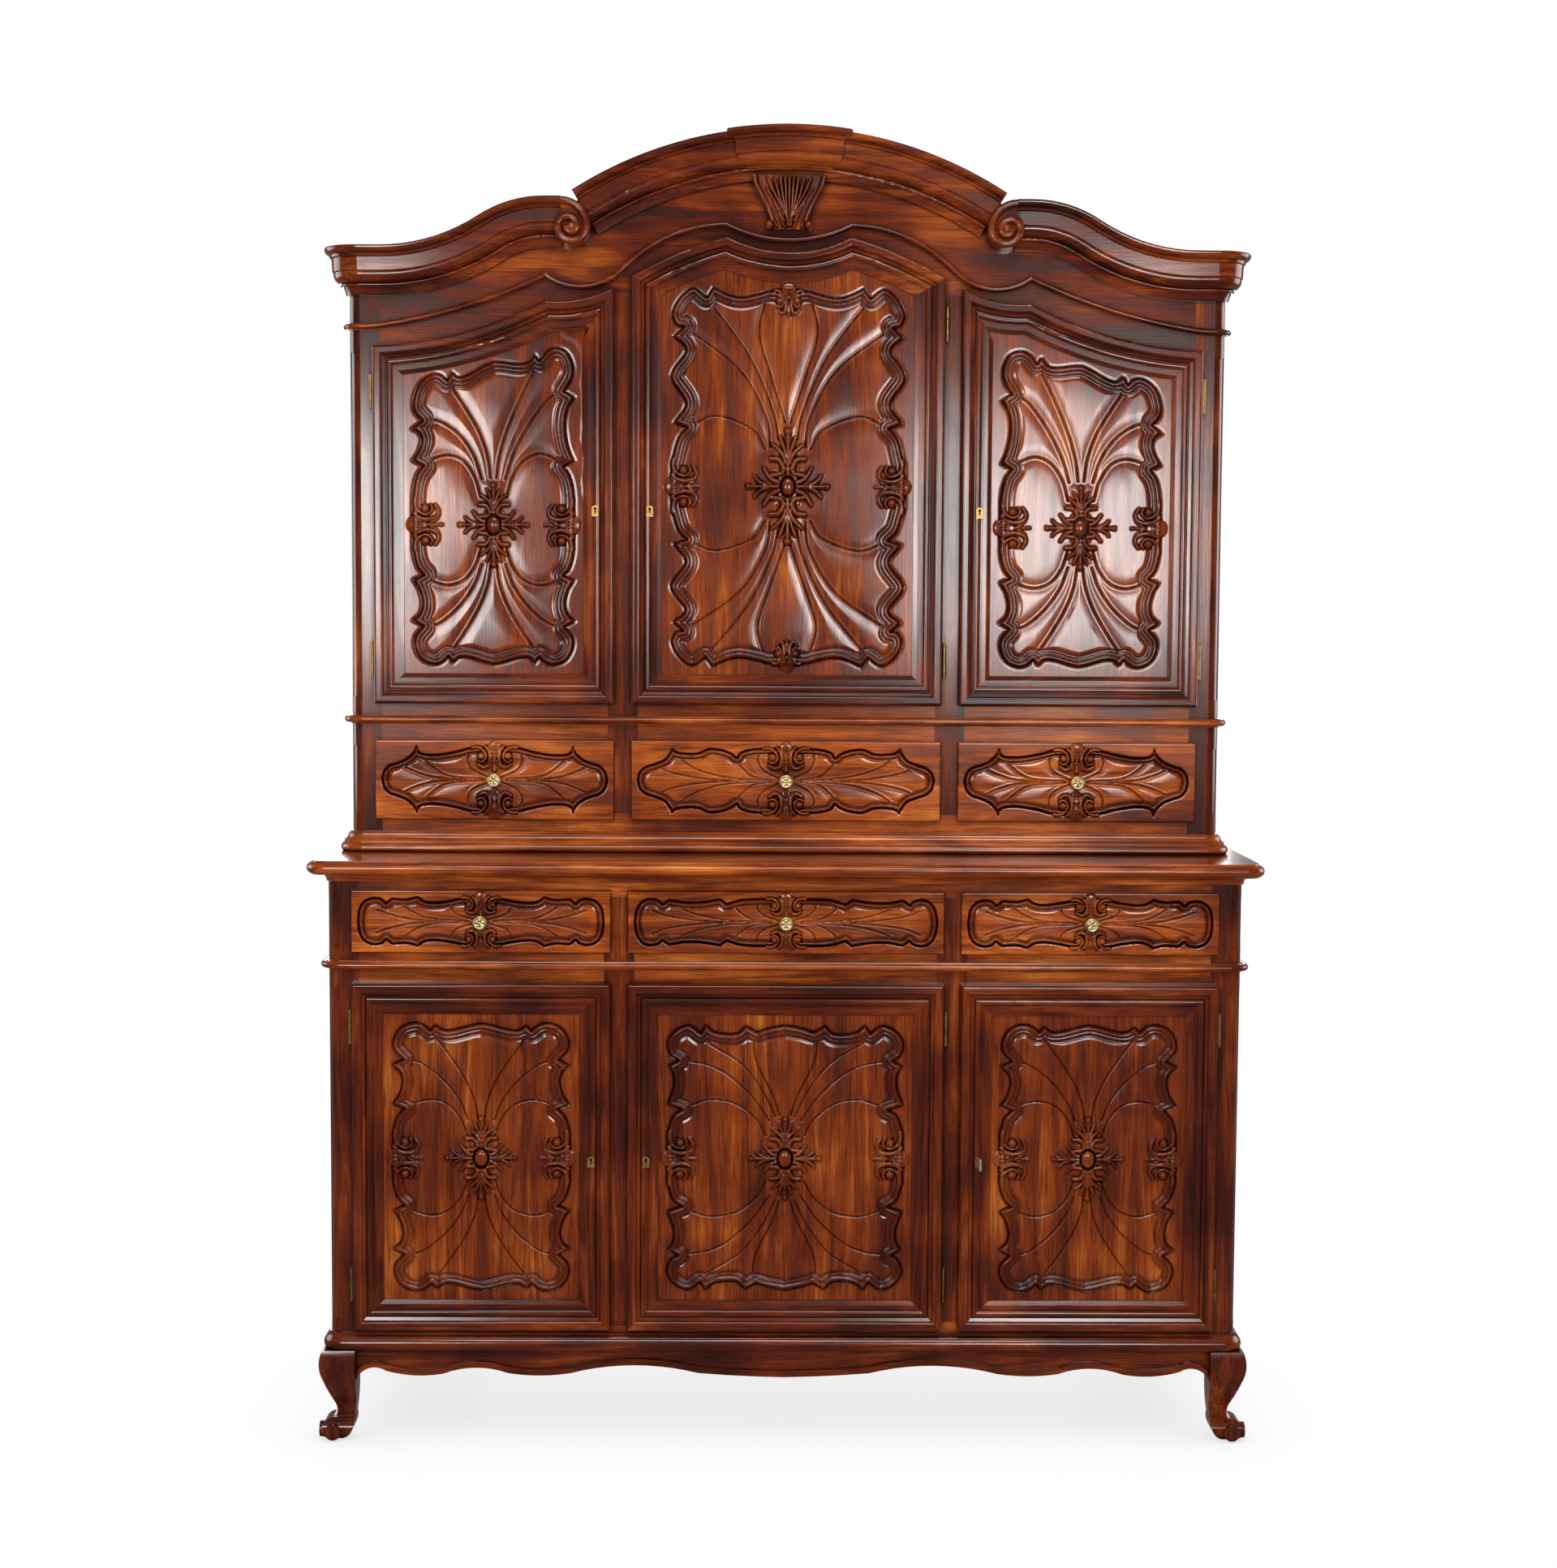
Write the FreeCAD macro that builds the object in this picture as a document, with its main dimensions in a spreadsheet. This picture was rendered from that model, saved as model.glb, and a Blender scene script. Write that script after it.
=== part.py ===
import FreeCAD, Part
import math
import os
import re
from types import SimpleNamespace

import Sketcher

# Two-part cupboard: a three-bay base with drawers over doors, and a set-back three-bay top with drawers
# under arched doors and a scrolled, broken-arch cornice.
# Millimetres. +Z is up, the front faces -Y, and the origin is on the floor under the middle of the counter.

Vector = FreeCAD.Vector
os.makedirs("parts", exist_ok=True)
doc = FreeCAD.newDocument("two_part_cupboard")

# Driving dimensions
SIZES = [
    # Counter and the two cases
    ("counter_width", 1772), ("counter_depth", 590), ("counter_thick", 26), ("counter_nose", 14),
    ("counter_end_overhang", 31), ("counter_front_overhang", 69), ("cove_height", 18), ("cove_proud", 22),
    ("upper_setback", 125.5), ("upper_inset", 27),
    # Posts, mullions and rails
    ("post_width", 59), ("mullion_width", 57), ("centre_open_half", 283), ("frame_thick", 32),
    ("corner_round", 22), ("column_recess", 2), ("lower_bottom_rail", 54), ("lower_door_opening", 632),
    ("lower_mid_rail", 81), ("lower_drawer_opening", 93), ("lower_top_rail", 45),
    ("upper_bottom_rail", 74), ("upper_drawer_opening", 128), ("upper_mid_rail", 93),
    ("upper_corner_height", 647), ("frieze_height", 195),
    # Inner boards
    ("side_thick", 20), ("side_inset", 4), ("board_thick", 20), ("shelf_thick", 18), ("deck_thick", 12),
    ("back_thick", 10), ("partition_thick", 20), ("shelf_setback", 30), ("guide_height", 30),
    ("roof_clearance", 8),
    # Mouldings that run round the front and ends
    ("plinth_height", 33), ("plinth_proud", 15), ("waist_height", 16), ("waist_proud", 15),
    ("lower_waist_rise", 36), ("upper_waist_rise", 42), ("base_height", 39), ("base_proud", 24),
    # Legs and apron
    ("leg_height", 173), ("leg_width", 66), ("leg_proud", 18), ("foot_scroll_radius", 15),
    ("foot_scroll_proud", 3), ("rear_leg_width", 60), ("apron_thick", 22), ("apron_bead", 12),
    ("apron_bead_proud", 5), ("end_apron_drop", 48),
    # Doors
    ("door_overlap", 12), ("door_thick", 23), ("door_gap", 1), ("rail_width", 57), ("panel_thick", 9),
    ("panel_seat", 8), ("panel_back", 3), ("panel_clearance", 0.5), ("rib_margin", 27), ("rib_width", 9),
    ("rib_height", 5), ("rosette_half_width", 62), ("rosette_half_height", 72), ("rosette_height", 9),
    ("cabochon_radius", 10), ("scroll_radius", 14), ("scroll_eye_radius", 6), ("scroll_gap", 42),
    ("scroll_height", 8),
    # Arched door heads
    ("side_cusp_rise", 86), ("side_arc_sag", 20), ("side_inner_rise", 26),
    ("side_inner_sag", 10), ("centre_corner_rise", 132),
    ("centre_cusp_rise", 75), ("centre_arc_bulge", 7), ("centre_sag", 28),
    # Frieze moulding and cornice
    ("bead_height", 13), ("bead_proud", 12), ("bead_end_gap", 43), ("side_bead_gap", 55),
    ("centre_bead_gap", 42), ("bead_kick", 42), ("bead_kick_rise", 3.3), ("bead_dip", 21),
    ("bead_swing_gap", 5), ("cornice_height", 89), ("cornice_proud", 47), ("wing_run", 41),
    ("wing_turn", 33), ("arch_radius", 754),
    ("arch_rise", 221), ("frieze_cap", 14), ("volute_radius", 36), ("volute_lead", 49),
    ("keystone_lift", 4),
    ("keystone_half", 62), ("keystone_proud", 8), ("corbel_half", 70), ("corbel_foot_half", 37),
    ("corbel_height", 98), ("corbel_proud", 34), ("corbel_scroll_radius", 8), ("corbel_rim", 9),
    ("corbel_sink", 5),
    # Hinges
    ("hinge_radius", 4), ("hinge_pin_radius", 2), ("pin_clearance", 0.05), ("hinge_offset", 4.5),
    ("hinge_forward", 5), ("hinge_half", 32), ("hinge_axial_gap", 0.3), ("hinge_inset", 84),
    ("leaf_thick", 1.6), ("leaf_depth", 20), ("leaf_height", 28),
    # Locks and key
    ("lock_inset", 35), ("lower_lock_rise", 325), ("upper_lock_rise", 369), ("escutcheon_width", 13),
    ("escutcheon_height", 21), ("escutcheon_back", 8), ("escutcheon_front", 18), ("keyhole_radius", 2.6),
    ("keyhole_slot", 2.6), ("keyhole_drop", 8), ("lock_case_width", 38), ("lock_case_height", 60),
    ("lock_case_depth", 12), ("lock_edge_gap", 2), ("bolt_height", 10), ("bolt_thick", 4),
    ("bolt_length", 30), ("bolt_throw", 10), ("bolt_clearance", 0.3), ("bolt_back", 1),
    ("key_radius", 2.5), ("key_clearance", 0.05), ("key_reach", 14), ("key_bow_height", 22),
    ("key_bow_length", 18), ("key_bow_thick", 4), ("key_bow_rim", 4), ("key_bit_drop", 8),
    ("key_bit_thick", 2.4), ("key_bit_length", 3), ("key_well_radius", 10), ("lock_plate", 2),
    # Drawers and knobs
    ("drawer_lip", 9), ("drawer_lip_gap", 0.5), ("drawer_block", 14), ("drawer_side_gap", 1.5),
    ("drawer_side_thick", 10), ("drawer_back_gap", 20), ("running_gap", 0.3), ("drawer_top_gap", 8),
    ("drawer_bottom_thick", 6), ("drawer_bottom_rise", 6), ("drawer_rib_margin", 9),
    ("drawer_rib_width", 6), ("drawer_rib_height", 3), ("drawer_scroll_radius", 9),
    ("drawer_scroll_gap", 36), ("drawer_eye_radius", 4), ("knob_radius", 13.5), ("knob_length", 24),
    ("knob_head", 9), ("knob_neck_radius", 5), ("knob_base_radius", 8), ("knob_base", 3),
    ("knob_round", 2.5), ("knob_spigot_radius", 3), ("knob_spigot", 10),
    # Overrun of every cutting tool
    ("overrun", 2),
]

# Places worked out from the driving dimensions, some as shares of the width that they follow
side_cusp_share = .7174
centre_cusp_share = .3932
wing_low_share = .4106
wing_high_share = .2778
PLACES = [
    ("lower_half", "counter_width / 2 - counter_end_overhang"),
    ("upper_half", "lower_half - upper_inset"),
    ("back_y", "counter_depth / 2"),
    ("lower_face", "counter_front_overhang - counter_depth / 2"),
    ("upper_face", "lower_face + upper_setback"),
    ("lower_open_out", "lower_half - post_width"),
    ("upper_open_out", "upper_half - post_width"),
    ("side_open_in", "centre_open_half + mullion_width"),
    ("lower_door_low", "leg_height + lower_bottom_rail"),
    ("lower_door_high", "lower_door_low + lower_door_opening"),
    ("lower_drawer_low", "lower_door_high + lower_mid_rail"),
    ("lower_drawer_high", "lower_drawer_low + lower_drawer_opening"),
    ("counter_low", "lower_drawer_high + lower_top_rail"),
    ("counter_top_z", "counter_low + counter_thick"),
    ("upper_drawer_low", "counter_top_z + upper_bottom_rail"),
    ("upper_drawer_high", "upper_drawer_low + upper_drawer_opening"),
    ("upper_door_low", "upper_drawer_high + upper_mid_rail"),
    ("upper_corner_z", "upper_door_low + upper_corner_height"),
    ("side_cusp_x", "upper_open_out + door_overlap - "
     f"{side_cusp_share} * (upper_open_out - side_open_in + 2 * door_overlap)"),
    ("centre_cusp_half", f"{centre_cusp_share} * (centre_open_half + door_overlap)"),
    ("wing_run_half", "upper_half - corner_round - wing_run"),
    ("wing_low_radius", f"{wing_low_share} * upper_half"),
    ("wing_high_radius", f"{wing_high_share} * upper_half"),
    ("side_inner_z", "upper_corner_z + side_cusp_rise + side_inner_rise"),
    ("centre_cusp_z", "upper_corner_z + centre_corner_rise + centre_cusp_rise"),
    ("cornice_z", "upper_corner_z + frieze_height"),
    ("post_top", "cornice_z - frieze_cap"),
    ("partition_in", "centre_open_half + (mullion_width - partition_thick) / 2"),
    ("partition_out", "partition_in + partition_thick"),
    ("lower_side_in", "lower_half - side_inset - side_thick"),
    ("upper_side_in", "upper_half - side_inset - side_thick"),
    ("lower_inside", "lower_face + frame_thick"),
    ("upper_inside", "upper_face + frame_thick"),
    ("back_inside", "back_y - back_thick"),
    ("side_roof", "side_inner_z + roof_clearance"),
    ("centre_roof", "centre_cusp_z + roof_clearance"),
]


def fill_sheet(name, rows, prefix):
    """One sheet of named cells."""
    sheet = doc.addObject("Spreadsheet::Sheet", name)
    for row, (alias, value) in enumerate(rows, start=1):
        sheet.set(f"A{row}", alias)
        sheet.set(f"B{row}", prefix + bound(str(value)))
        sheet.setAlias(f"B{row}", alias)
    doc.recompute()
    return sheet


home = {alias: "Sizes" for alias, value in SIZES}
home.update({alias: "Places" for alias, formula in PLACES})


def bound(formula):
    """A formula with each name led back to the sheet that holds it."""
    def full_name(match):
        word = match.group()
        return f"{home[word]}.{word}" if word in home else word
    return re.sub(r"[a-z_]+", full_name, formula)


sizes = fill_sheet("Sizes", SIZES, "")
places = fill_sheet("Places", PLACES, "=")
d = SimpleNamespace(**{alias: float(sizes.get(alias)) for alias, value in SIZES})
d.__dict__.update({alias: float(places.get(alias)) for alias, formula in PLACES})


def bind(item, prop, formula):
    """Ties one property of an object to the sheets."""
    item.setExpression(prop, bound(formula))


nodes = []
serial = iter(range(1, 100000))


def label(item, name):
    """Names a finished sub-part."""
    item.Label = name
    nodes.append(item)
    return item


def next_name(stem):
    return f"{stem}_{next(serial)}"


def board(x, y, z):
    """A board between two places along each axis."""
    box = doc.addObject("Part::Box", next_name("board"))
    for prop, axis, (low, high) in zip(("Length", "Width", "Height"), "xyz", (x, y, z)):
        bind(box, prop, f"({high}) - ({low})")
        bind(box, f"Placement.Base.{axis}", low)
    return box


def rod(radius, length, x, y, z, turn=None):
    """A round rod that starts at a place and runs up, or along the axis that the turn gives."""
    cylinder = doc.addObject("Part::Cylinder", next_name("rod"))
    bind(cylinder, "Radius", radius)
    bind(cylinder, "Height", length)
    if turn:
        cylinder.Placement = FreeCAD.Placement(Vector(), turn)
    for axis, formula in zip("xyz", (x, y, z)):
        bind(cylinder, f"Placement.Base.{axis}", formula)
    return cylinder


def group(items):
    """Separate solids kept together."""
    compound = doc.addObject("Part::Compound", next_name("group"))
    compound.Links = items
    return compound


def joined(items):
    """Solids made into one."""
    fuse = doc.addObject("Part::MultiFuse", next_name("joined"))
    fuse.Shapes = items
    return fuse


def cut(base, tools):
    """A piece with others taken out of it."""
    result = doc.addObject("Part::Cut", next_name("cut"))
    result.Base = base
    result.Tool = group(tools) if len(tools) > 1 else tools[0]
    return result


def formed(shape):
    """A piece whose curved form is worked out below."""
    feature = doc.addObject("Part::Feature", next_name("form"))
    feature.Shape = shape
    return feature


def span(side, near, far):
    """An X range given outwards from the middle, on the right (1) or left (-1)."""
    return (near, far) if side > 0 else (f"-({far})", f"-({near})")


FORWARD = FreeCAD.Rotation(Vector(1, 0, 0), 90)
SIDES = (("left", -1), ("right", 1))


# Outlines in the plane of the front, as lines (start, end) and arcs (start, middle, end)

def arc_centre(start, middle, end):
    circle = Part.Circle(Vector(*start, 0), Vector(*middle, 0), Vector(*end, 0))
    return circle.Center.x, circle.Center.y


def arc_sweep(edge):
    """Centre of an arc and the signed angle that it turns through."""
    centre = arc_centre(*edge)
    angles = [math.atan2(p[1] - centre[1], p[0] - centre[0]) for p in edge]
    to_middle = (angles[1] - angles[0]) % math.tau
    to_end = (angles[2] - angles[0]) % math.tau
    return centre, (to_end if to_middle < to_end else to_end - math.tau)


def tangent(edge, at_end):
    """Unit direction of travel at one end of an edge."""
    if len(edge) == 2:
        run = Vector(edge[1][0] - edge[0][0], edge[1][1] - edge[0][1], 0)
        return run.normalize()
    centre, sweep = arc_sweep(edge)
    place = edge[-1] if at_end else edge[0]
    radial = Vector(place[0] - centre[0], place[1] - centre[1], 0).normalize()
    turned = Vector(-radial.y, radial.x, 0)
    return turned if sweep > 0 else turned * -1


def bulged(start, end, rise):
    """An arc between two places whose middle stands above (or below) the straight line."""
    middle = ((start[0] + end[0]) / 2, (start[1] + end[1]) / 2 + rise)
    return (start, middle, end)


def tangent_arc(start, direction, end):
    """An arc that leaves a place in one direction and ends at another place."""
    chord = Vector(end[0] - start[0], end[1] - start[1], 0)
    half = chord.Length / 2
    turn = direction.getAngle(chord)
    normal = (direction - chord * (direction.dot(chord) / chord.Length ** 2)).normalize()
    offset = normal * (half * math.tan(turn / 2))
    middle = ((start[0] + end[0]) / 2 + offset.x, (start[1] + end[1]) / 2 + offset.y)
    return (start, middle, end)


def reverse(edges):
    return [tuple(reversed(edge)) for edge in reversed(edges)]


def mirrored(edges):
    """The same outline on the other side of the middle, still in order of travel."""
    return reverse([tuple((-x, z) for x, z in edge) for edge in edges])


def front_edges(edges, y):
    """Edges of an outline, standing in a plane parallel to the front."""
    shapes = []
    for edge in edges:
        corners = [Vector(x, y, z) for x, z in edge]
        curve = Part.LineSegment(*corners) if len(edge) == 2 else Part.Arc(*corners)
        shapes.append(curve.toShape())
    return shapes


def front_face(edges, y):
    return Part.Face(Part.Wire(Part.__sortEdges__(front_edges(edges, y))))


def front_slab(edges, back, front):
    """A closed outline made solid between two planes parallel to the front."""
    return front_face(edges, back).extrude(Vector(0, front - back, 0))


def polygon(points):
    return [(points[i], points[(i + 1) % len(points)]) for i in range(len(points))]


# Mouldings: a profile of shares (across, proud), with arcs as (across, proud, across, proud)

def profile_face(shares, width, proud, place):
    """The profile as a face; place turns a distance across and a distance proud into a point."""
    scaled = [tuple(v * (width, proud)[i % 2] for i, v in enumerate(share)) for share in shares]
    first = place(*scaled[0])
    last = first
    edges = []
    for share in scaled[1:]:
        end = place(*share[-2:])
        if len(share) == 4:
            edges.append(Part.Arc(last, place(*share[:2]), end).toShape())
        else:
            edges.append(Part.LineSegment(last, end).toShape())
        last = end
    edges.append(Part.LineSegment(last, first).toShape())
    return Part.Face(Part.Wire(edges))


def beyond(point, direction, y, reach):
    """A block that fills everything past a place in one direction."""
    block = Part.makeBox(reach, reach, reach, Vector(0, -reach / 2, -reach / 2))
    turn = FreeCAD.Rotation(Vector(0, 1, 0), -math.degrees(math.atan2(direction.y, direction.x)))
    block.Placement = FreeCAD.Placement(Vector(point[0], y, point[1]), turn)
    return block


def moulded(edges, shares, width, proud, back, closed):
    """A moulding along an outline, mitred at its corners: one solid for each edge."""
    reach = 2 * d.counter_width
    solids = []
    for number, edge in enumerate(edges):
        start, end = tangent(edge, False), tangent(edge, True)
        across = Vector(-start.y, start.x, 0)

        def place(u, v):
            return Vector(edge[0][0] + across.x * u, back - v, edge[0][1] + across.y * u)
        face = profile_face(shares, width, proud, place)
        if len(edge) == 2:
            length = math.dist(*edge)
            face.translate(Vector(-start.x, 0, -start.y) * width)
            solid = face.extrude(Vector(start.x, 0, start.y) * (length + 2 * width))
        else:
            centre, sweep = arc_sweep(edge)
            pivot = Vector(centre[0], 0, centre[1])
            spare = math.copysign(width / math.dist(centre, edge[0]), sweep)
            face.rotate(pivot, Vector(0, 1, 0), math.degrees(spare))
            solid = face.revolve(pivot, Vector(0, 1, 0), -math.degrees(sweep + 2 * spare))
        before = tangent(edges[number - 1], True) if closed or number else start
        after = tangent(edges[(number + 1) % len(edges)], False) if closed or edge != edges[-1] else end
        solid = solid.cut(beyond(edge[0], (before + start) * -1, back, reach))
        solid = solid.cut(beyond(edge[-1], after + end, back, reach))
        solids.append(max(solid.Solids, key=lambda piece: piece.Volume))
    return solids


def end_return(side, shares, width, proud, half, face_y, top):
    """A moulding carried round one rounded front corner and back along that end."""
    corner_x = side * (half - d.corner_round)
    corner_y = face_y + d.corner_round
    front = profile_face(shares, width, proud, lambda u, v: Vector(corner_x, face_y - v, top - u))
    turn = front.revolve(Vector(corner_x, corner_y, 0), Vector(0, 0, 1), side * 90)
    end = profile_face(shares, width, proud, lambda u, v: Vector(side * (half + v), corner_y, top - u))
    return turn.fuse(end.extrude(Vector(0, d.back_y - corner_y, 0))).removeSplitter().Solids[0]


def surround(shares, width, proud, half, face_y, top):
    """A level moulding in three lengths, along the front and round both ends."""
    run = half - d.corner_round
    front = profile_face(shares, width, proud, lambda u, v: Vector(-run, face_y - v, top - u))
    pieces = [front.extrude(Vector(2 * run, 0, 0))]
    for name, side in SIDES:
        pieces.append(end_return(side, shares, width, proud, half, face_y, top))
    return pieces


door_rail_shares = [
    (0, 0), (0, .74), (.026, .935, .09, 1), (.23, 1), (.29, .93, .316, .74), (.42, .65), (.44, .57),
    (.474, .57), (.474, .74), (.58, .77, .667, .62), (.72, .62), (.72, .7), (.86, .7), (1, .61),
]
groove_front_share = (d.panel_back + d.panel_thick) / d.door_thick
groove_back_share = d.panel_back / d.door_thick
groove_end_share = 1 - d.panel_seat / d.rail_width
door_rail_shares += [
    (1, groove_front_share), (groove_end_share, groove_front_share),
    (groove_end_share, groove_back_share), (1, groove_back_share), (1, 0),
]
cornice_shares = [
    (0, 0), (0, .97), (.03, 1), (.11, .95, .157, .79), (.21, .79), (.235, .72), (.505, .69), (.53, .64),
    (.67, .57, .742, .38), (.742, .31), (.78, .35, .82, .31), (.82, .24), (.91, .17, 1, .12), (1, 0),
]
plinth_shares = [(0, 0), (0, .3), (.14, .3), (.2, .5, .36, .74), (.64, 1, .92, .85), (1, .7), (1, 0)]
waist_shares = [(0, 0), (0, .3), (.15, .4), (.5, 1, .8, .4), (.85, .2), (1, .15), (1, 0)]
base_shares = [
    (0, 0), (0, .2), (.1, .2), (.13, .36), (.27, .42, .4, .58), (.44, .7), (.56, .7), (.6, .84),
    (.8, 1, .98, .86), (1, .8), (1, 0),
]
nose_shares = [(0, 0), (0, .2), (.12, .25), (.16, .5), (.5, 1, .9, .6), (1, .3), (1, 0)]
cove_shares = [(0, 0), (0, 1), (.2, .95), (.4, .4, .9, .18), (1, .18), (1, 0)]


# Arched heads of the upper doors, travelling from right to left

def side_head(outer, inner, drop):
    """Head of the right side door: a hollow sweep up to a cusp, then a short dip up to the inner corner."""
    corner_z = d.upper_corner_z + d.door_overlap
    cusp = (d.side_cusp_x, corner_z + d.side_cusp_rise - drop)
    end = (inner, cusp[1] + d.side_inner_rise)
    return [bulged((outer, corner_z - drop), cusp, -d.side_arc_sag), bulged(cusp, end, -d.side_inner_sag)]


def centre_head(half, drop):
    """Head of the middle door: a rounded shoulder up to each cusp and a dip between them."""
    corner_z = d.upper_corner_z + d.door_overlap + d.centre_corner_rise
    corner = (half, corner_z - drop)
    cusp = (d.centre_cusp_half, corner_z + d.centre_cusp_rise - drop)
    shoulder = bulged(corner, cusp, d.centre_arc_bulge)
    dip = bulged(cusp, (-cusp[0], cusp[1]), -d.centre_sag)
    return [shoulder, dip] + mirrored([shoulder])


def door_outline(edge_right, edge_left, low, head):
    """A door's edge, anticlockwise from its lower left corner."""
    return [
        ((edge_left, low), (edge_right, low)),
        ((edge_right, low), head[0][0]),
        *head,
        (head[-1][-1], (edge_left, low)),
    ]


# Carved relief: a scalloped rib, a rosette and scrolls, as shares of half the panel's width and height

door_scallop_shares = [
    [(0, 1), (.2, .99, .4, .935)], [(.4, .935), (.54, .97)], [(.54, .97), (.59, .93)],
    [(.59, .93), (.8, 1, .985, .87)], [(.985, .87), (.985, .79, .88, .73)], [(.88, .73), (1, .69)],
    [(1, .69), (.88, .55, .985, .4)], [(.985, .4), (.87, .365)], [(.87, .365), (.98, .26, 1, .16)],
    [(1, .16), (1, 0)],
]
upper_drawer_scallop_shares = [
    [(0, .95), (.25, .8, .45, .84)], [(.45, .84), (.57, .88, .66, .98)], [(.66, .98), (.74, .72, .84, .62)],
    [(.84, .62), (.86, .5)], [(.86, .5), (.98, .3, 1, 0)],
]
lower_drawer_scallop_shares = [
    [(0, .9), (.25, .98, .5, .75)], [(.5, .75), (.55, .85)], [(.55, .85), (.74, .85)],
    [(.74, .85), (.8, .6)], [(.8, .6), (.95, 1, 1, 0)],
]


def scallop(shares, centre, half_width, half_height, lift):
    """A scalloped outline, mirrored both ways about its centre; lift raises the upper half at each side."""
    quarter = []
    for start, rest in shares:
        points = [start, rest] if len(rest) == 2 else [start, rest[:2], rest[2:]]
        quarter.append(tuple(points))

    def placed(edges, across, up):
        result = []
        for edge in edges:
            spots = []
            for x, z in edge:
                rise = lift * across * x * half_width * z if up > 0 else 0
                spots.append((centre[0] + across * x * half_width, centre[1] + up * z * half_height + rise))
            result.append(tuple(spots))
        return result
    return (placed(quarter, 1, 1) + reverse(placed(quarter, 1, -1))
            + placed(quarter, -1, -1) + reverse(placed(quarter, -1, 1)))


def rib(shares, centre, half_width, half_height, lift, width, back, proud):
    """The raised rib between a scalloped outline and the same outline drawn in."""
    outline = scallop(shares, centre, half_width, half_height, lift)
    face = front_face(outline, back)
    inner = face.makeOffset2D(-width)
    return face.cut(inner).extrude(Vector(0, -proud, 0))


def pillar(x, z, radius, back, proud):
    return Part.makeCylinder(radius, proud, Vector(x, back, z), Vector(0, -1, 0))


def rosette(centre, back):
    """A four-pointed leaf boss with an oval stone in its middle."""
    x, z = centre
    points = [(x + d.rosette_half_width, z), (x, z + d.rosette_half_height)]
    points += [(x - d.rosette_half_width, z), (x, z - d.rosette_half_height)]
    edges = []
    hollow_share = .38
    for start, end in polygon(points):
        middle = (x + hollow_share * (start[0] + end[0] - 2 * x),
                  z + hollow_share * (start[1] + end[1] - 2 * z))
        edges.append((start, middle, end))
    boss = front_slab(edges, back, back - d.rosette_height)
    stone = Part.makeSphere(d.cabochon_radius, Vector(x, back - d.rosette_height, z))
    return boss.fuse(stone)


def scroll_pair(x, z, along, gap, radius, eye, back, proud):
    """Two scrolls with round eyes, side by side along one direction, joined by a leaf."""
    solids = []
    for sign in (-1, 1):
        place_x = x + sign * along[0] * gap / 2
        place_z = z + sign * along[1] * gap / 2
        solids.append(pillar(place_x, place_z, radius, back, proud))
        solids.append(pillar(place_x, place_z, eye, back - proud, proud / 2))
    half_x, half_z = (gap / 2, radius / 2) if along[0] else (radius / 2, gap / 2)
    corners = [(-half_x, -half_z), (half_x, -half_z), (half_x, half_z), (-half_x, half_z)]
    leaf = polygon([(x + step_x, z + step_z) for step_x, step_z in corners])
    solids.append(front_slab(leaf, back, back - proud))
    return solids


# Six doors

DOORS = [
    SimpleNamespace(name="lower_left", tier="lower", bay=-1, hinge=-1),
    SimpleNamespace(name="lower_centre", tier="lower", bay=0, hinge=1),
    SimpleNamespace(name="lower_right", tier="lower", bay=1, hinge=1),
    SimpleNamespace(name="upper_left", tier="upper", bay=-1, hinge=-1),
    SimpleNamespace(name="upper_centre", tier="upper", bay=0, hinge=1),
    SimpleNamespace(name="upper_right", tier="upper", bay=1, hinge=1),
]
KEYED_DOOR = "lower_right"


def set_places(door):
    """Formulas and values for one door's edges, hinges and lock."""
    tier = door.tier
    door.face = f"{tier}_face"
    door.low = f"{tier}_door_low - door_overlap"
    out, near = f"{tier}_open_out + door_overlap", "side_open_in - door_overlap"
    middle = "centre_open_half + door_overlap"
    outer_corner = "lower_door_high" if tier == "lower" else "upper_corner_z"
    corner = f"{outer_corner} + door_overlap"
    if door.bay == 0:
        door.hinge_edge, door.free_edge = middle, f"-({middle})"
        door.corner = corner if tier == "lower" else f"{corner} + centre_corner_rise"
        door.opening_free = "-centre_open_half"
    else:
        door.hinge_edge, door.free_edge = f"{door.bay} * ({out})", f"{door.bay} * ({near})"
        door.corner = corner
        door.opening_free = f"{door.bay} * side_open_in"
    door.inward = -door.hinge
    door.axis_x = f"{door.hinge_edge} + {door.hinge} * hinge_offset"
    door.axis_y = f"{door.face} - hinge_forward"
    door.back = f"{door.face} - door_gap"
    door.lock_x = f"{door.free_edge} + {door.hinge} * lock_inset"
    door.lock_z = f"{door.low} + {tier}_lock_rise"
    door.hinge_heights = [f"{door.low} + hinge_inset", f"{door.corner} - hinge_inset"]


def value(formula):
    """A formula's number."""
    return float(sizes.evalExpression(bound(formula)))


def leaf_on_door(door, height):
    """The hinge leaf let into the door's edge, above the joint between the two barrels."""
    sign = door.inward
    low, high = f"{door.axis_x}", f"{door.axis_x} + {sign} * (hinge_offset + leaf_depth)"
    x = (low, high) if sign > 0 else (high, low)
    y = (f"{door.axis_y} - leaf_thick / 2", f"{door.axis_y} + leaf_thick / 2")
    middle = f"{height} + hinge_axial_gap / 2 + hinge_half / 2"
    return board(x, y, (f"{middle} - leaf_height / 2", f"{middle} + leaf_height / 2"))


def leaf_on_case(door, height):
    """The hinge leaf let into the post or mullion, below the joint."""
    x = (f"{door.axis_x} - leaf_thick / 2", f"{door.axis_x} + leaf_thick / 2")
    y = (door.axis_y, f"{door.face} + leaf_depth")
    middle = f"{height} - hinge_axial_gap / 2 - hinge_half / 2"
    return board(x, y, (f"{middle} - leaf_height / 2", f"{middle} + leaf_height / 2"))


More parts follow.
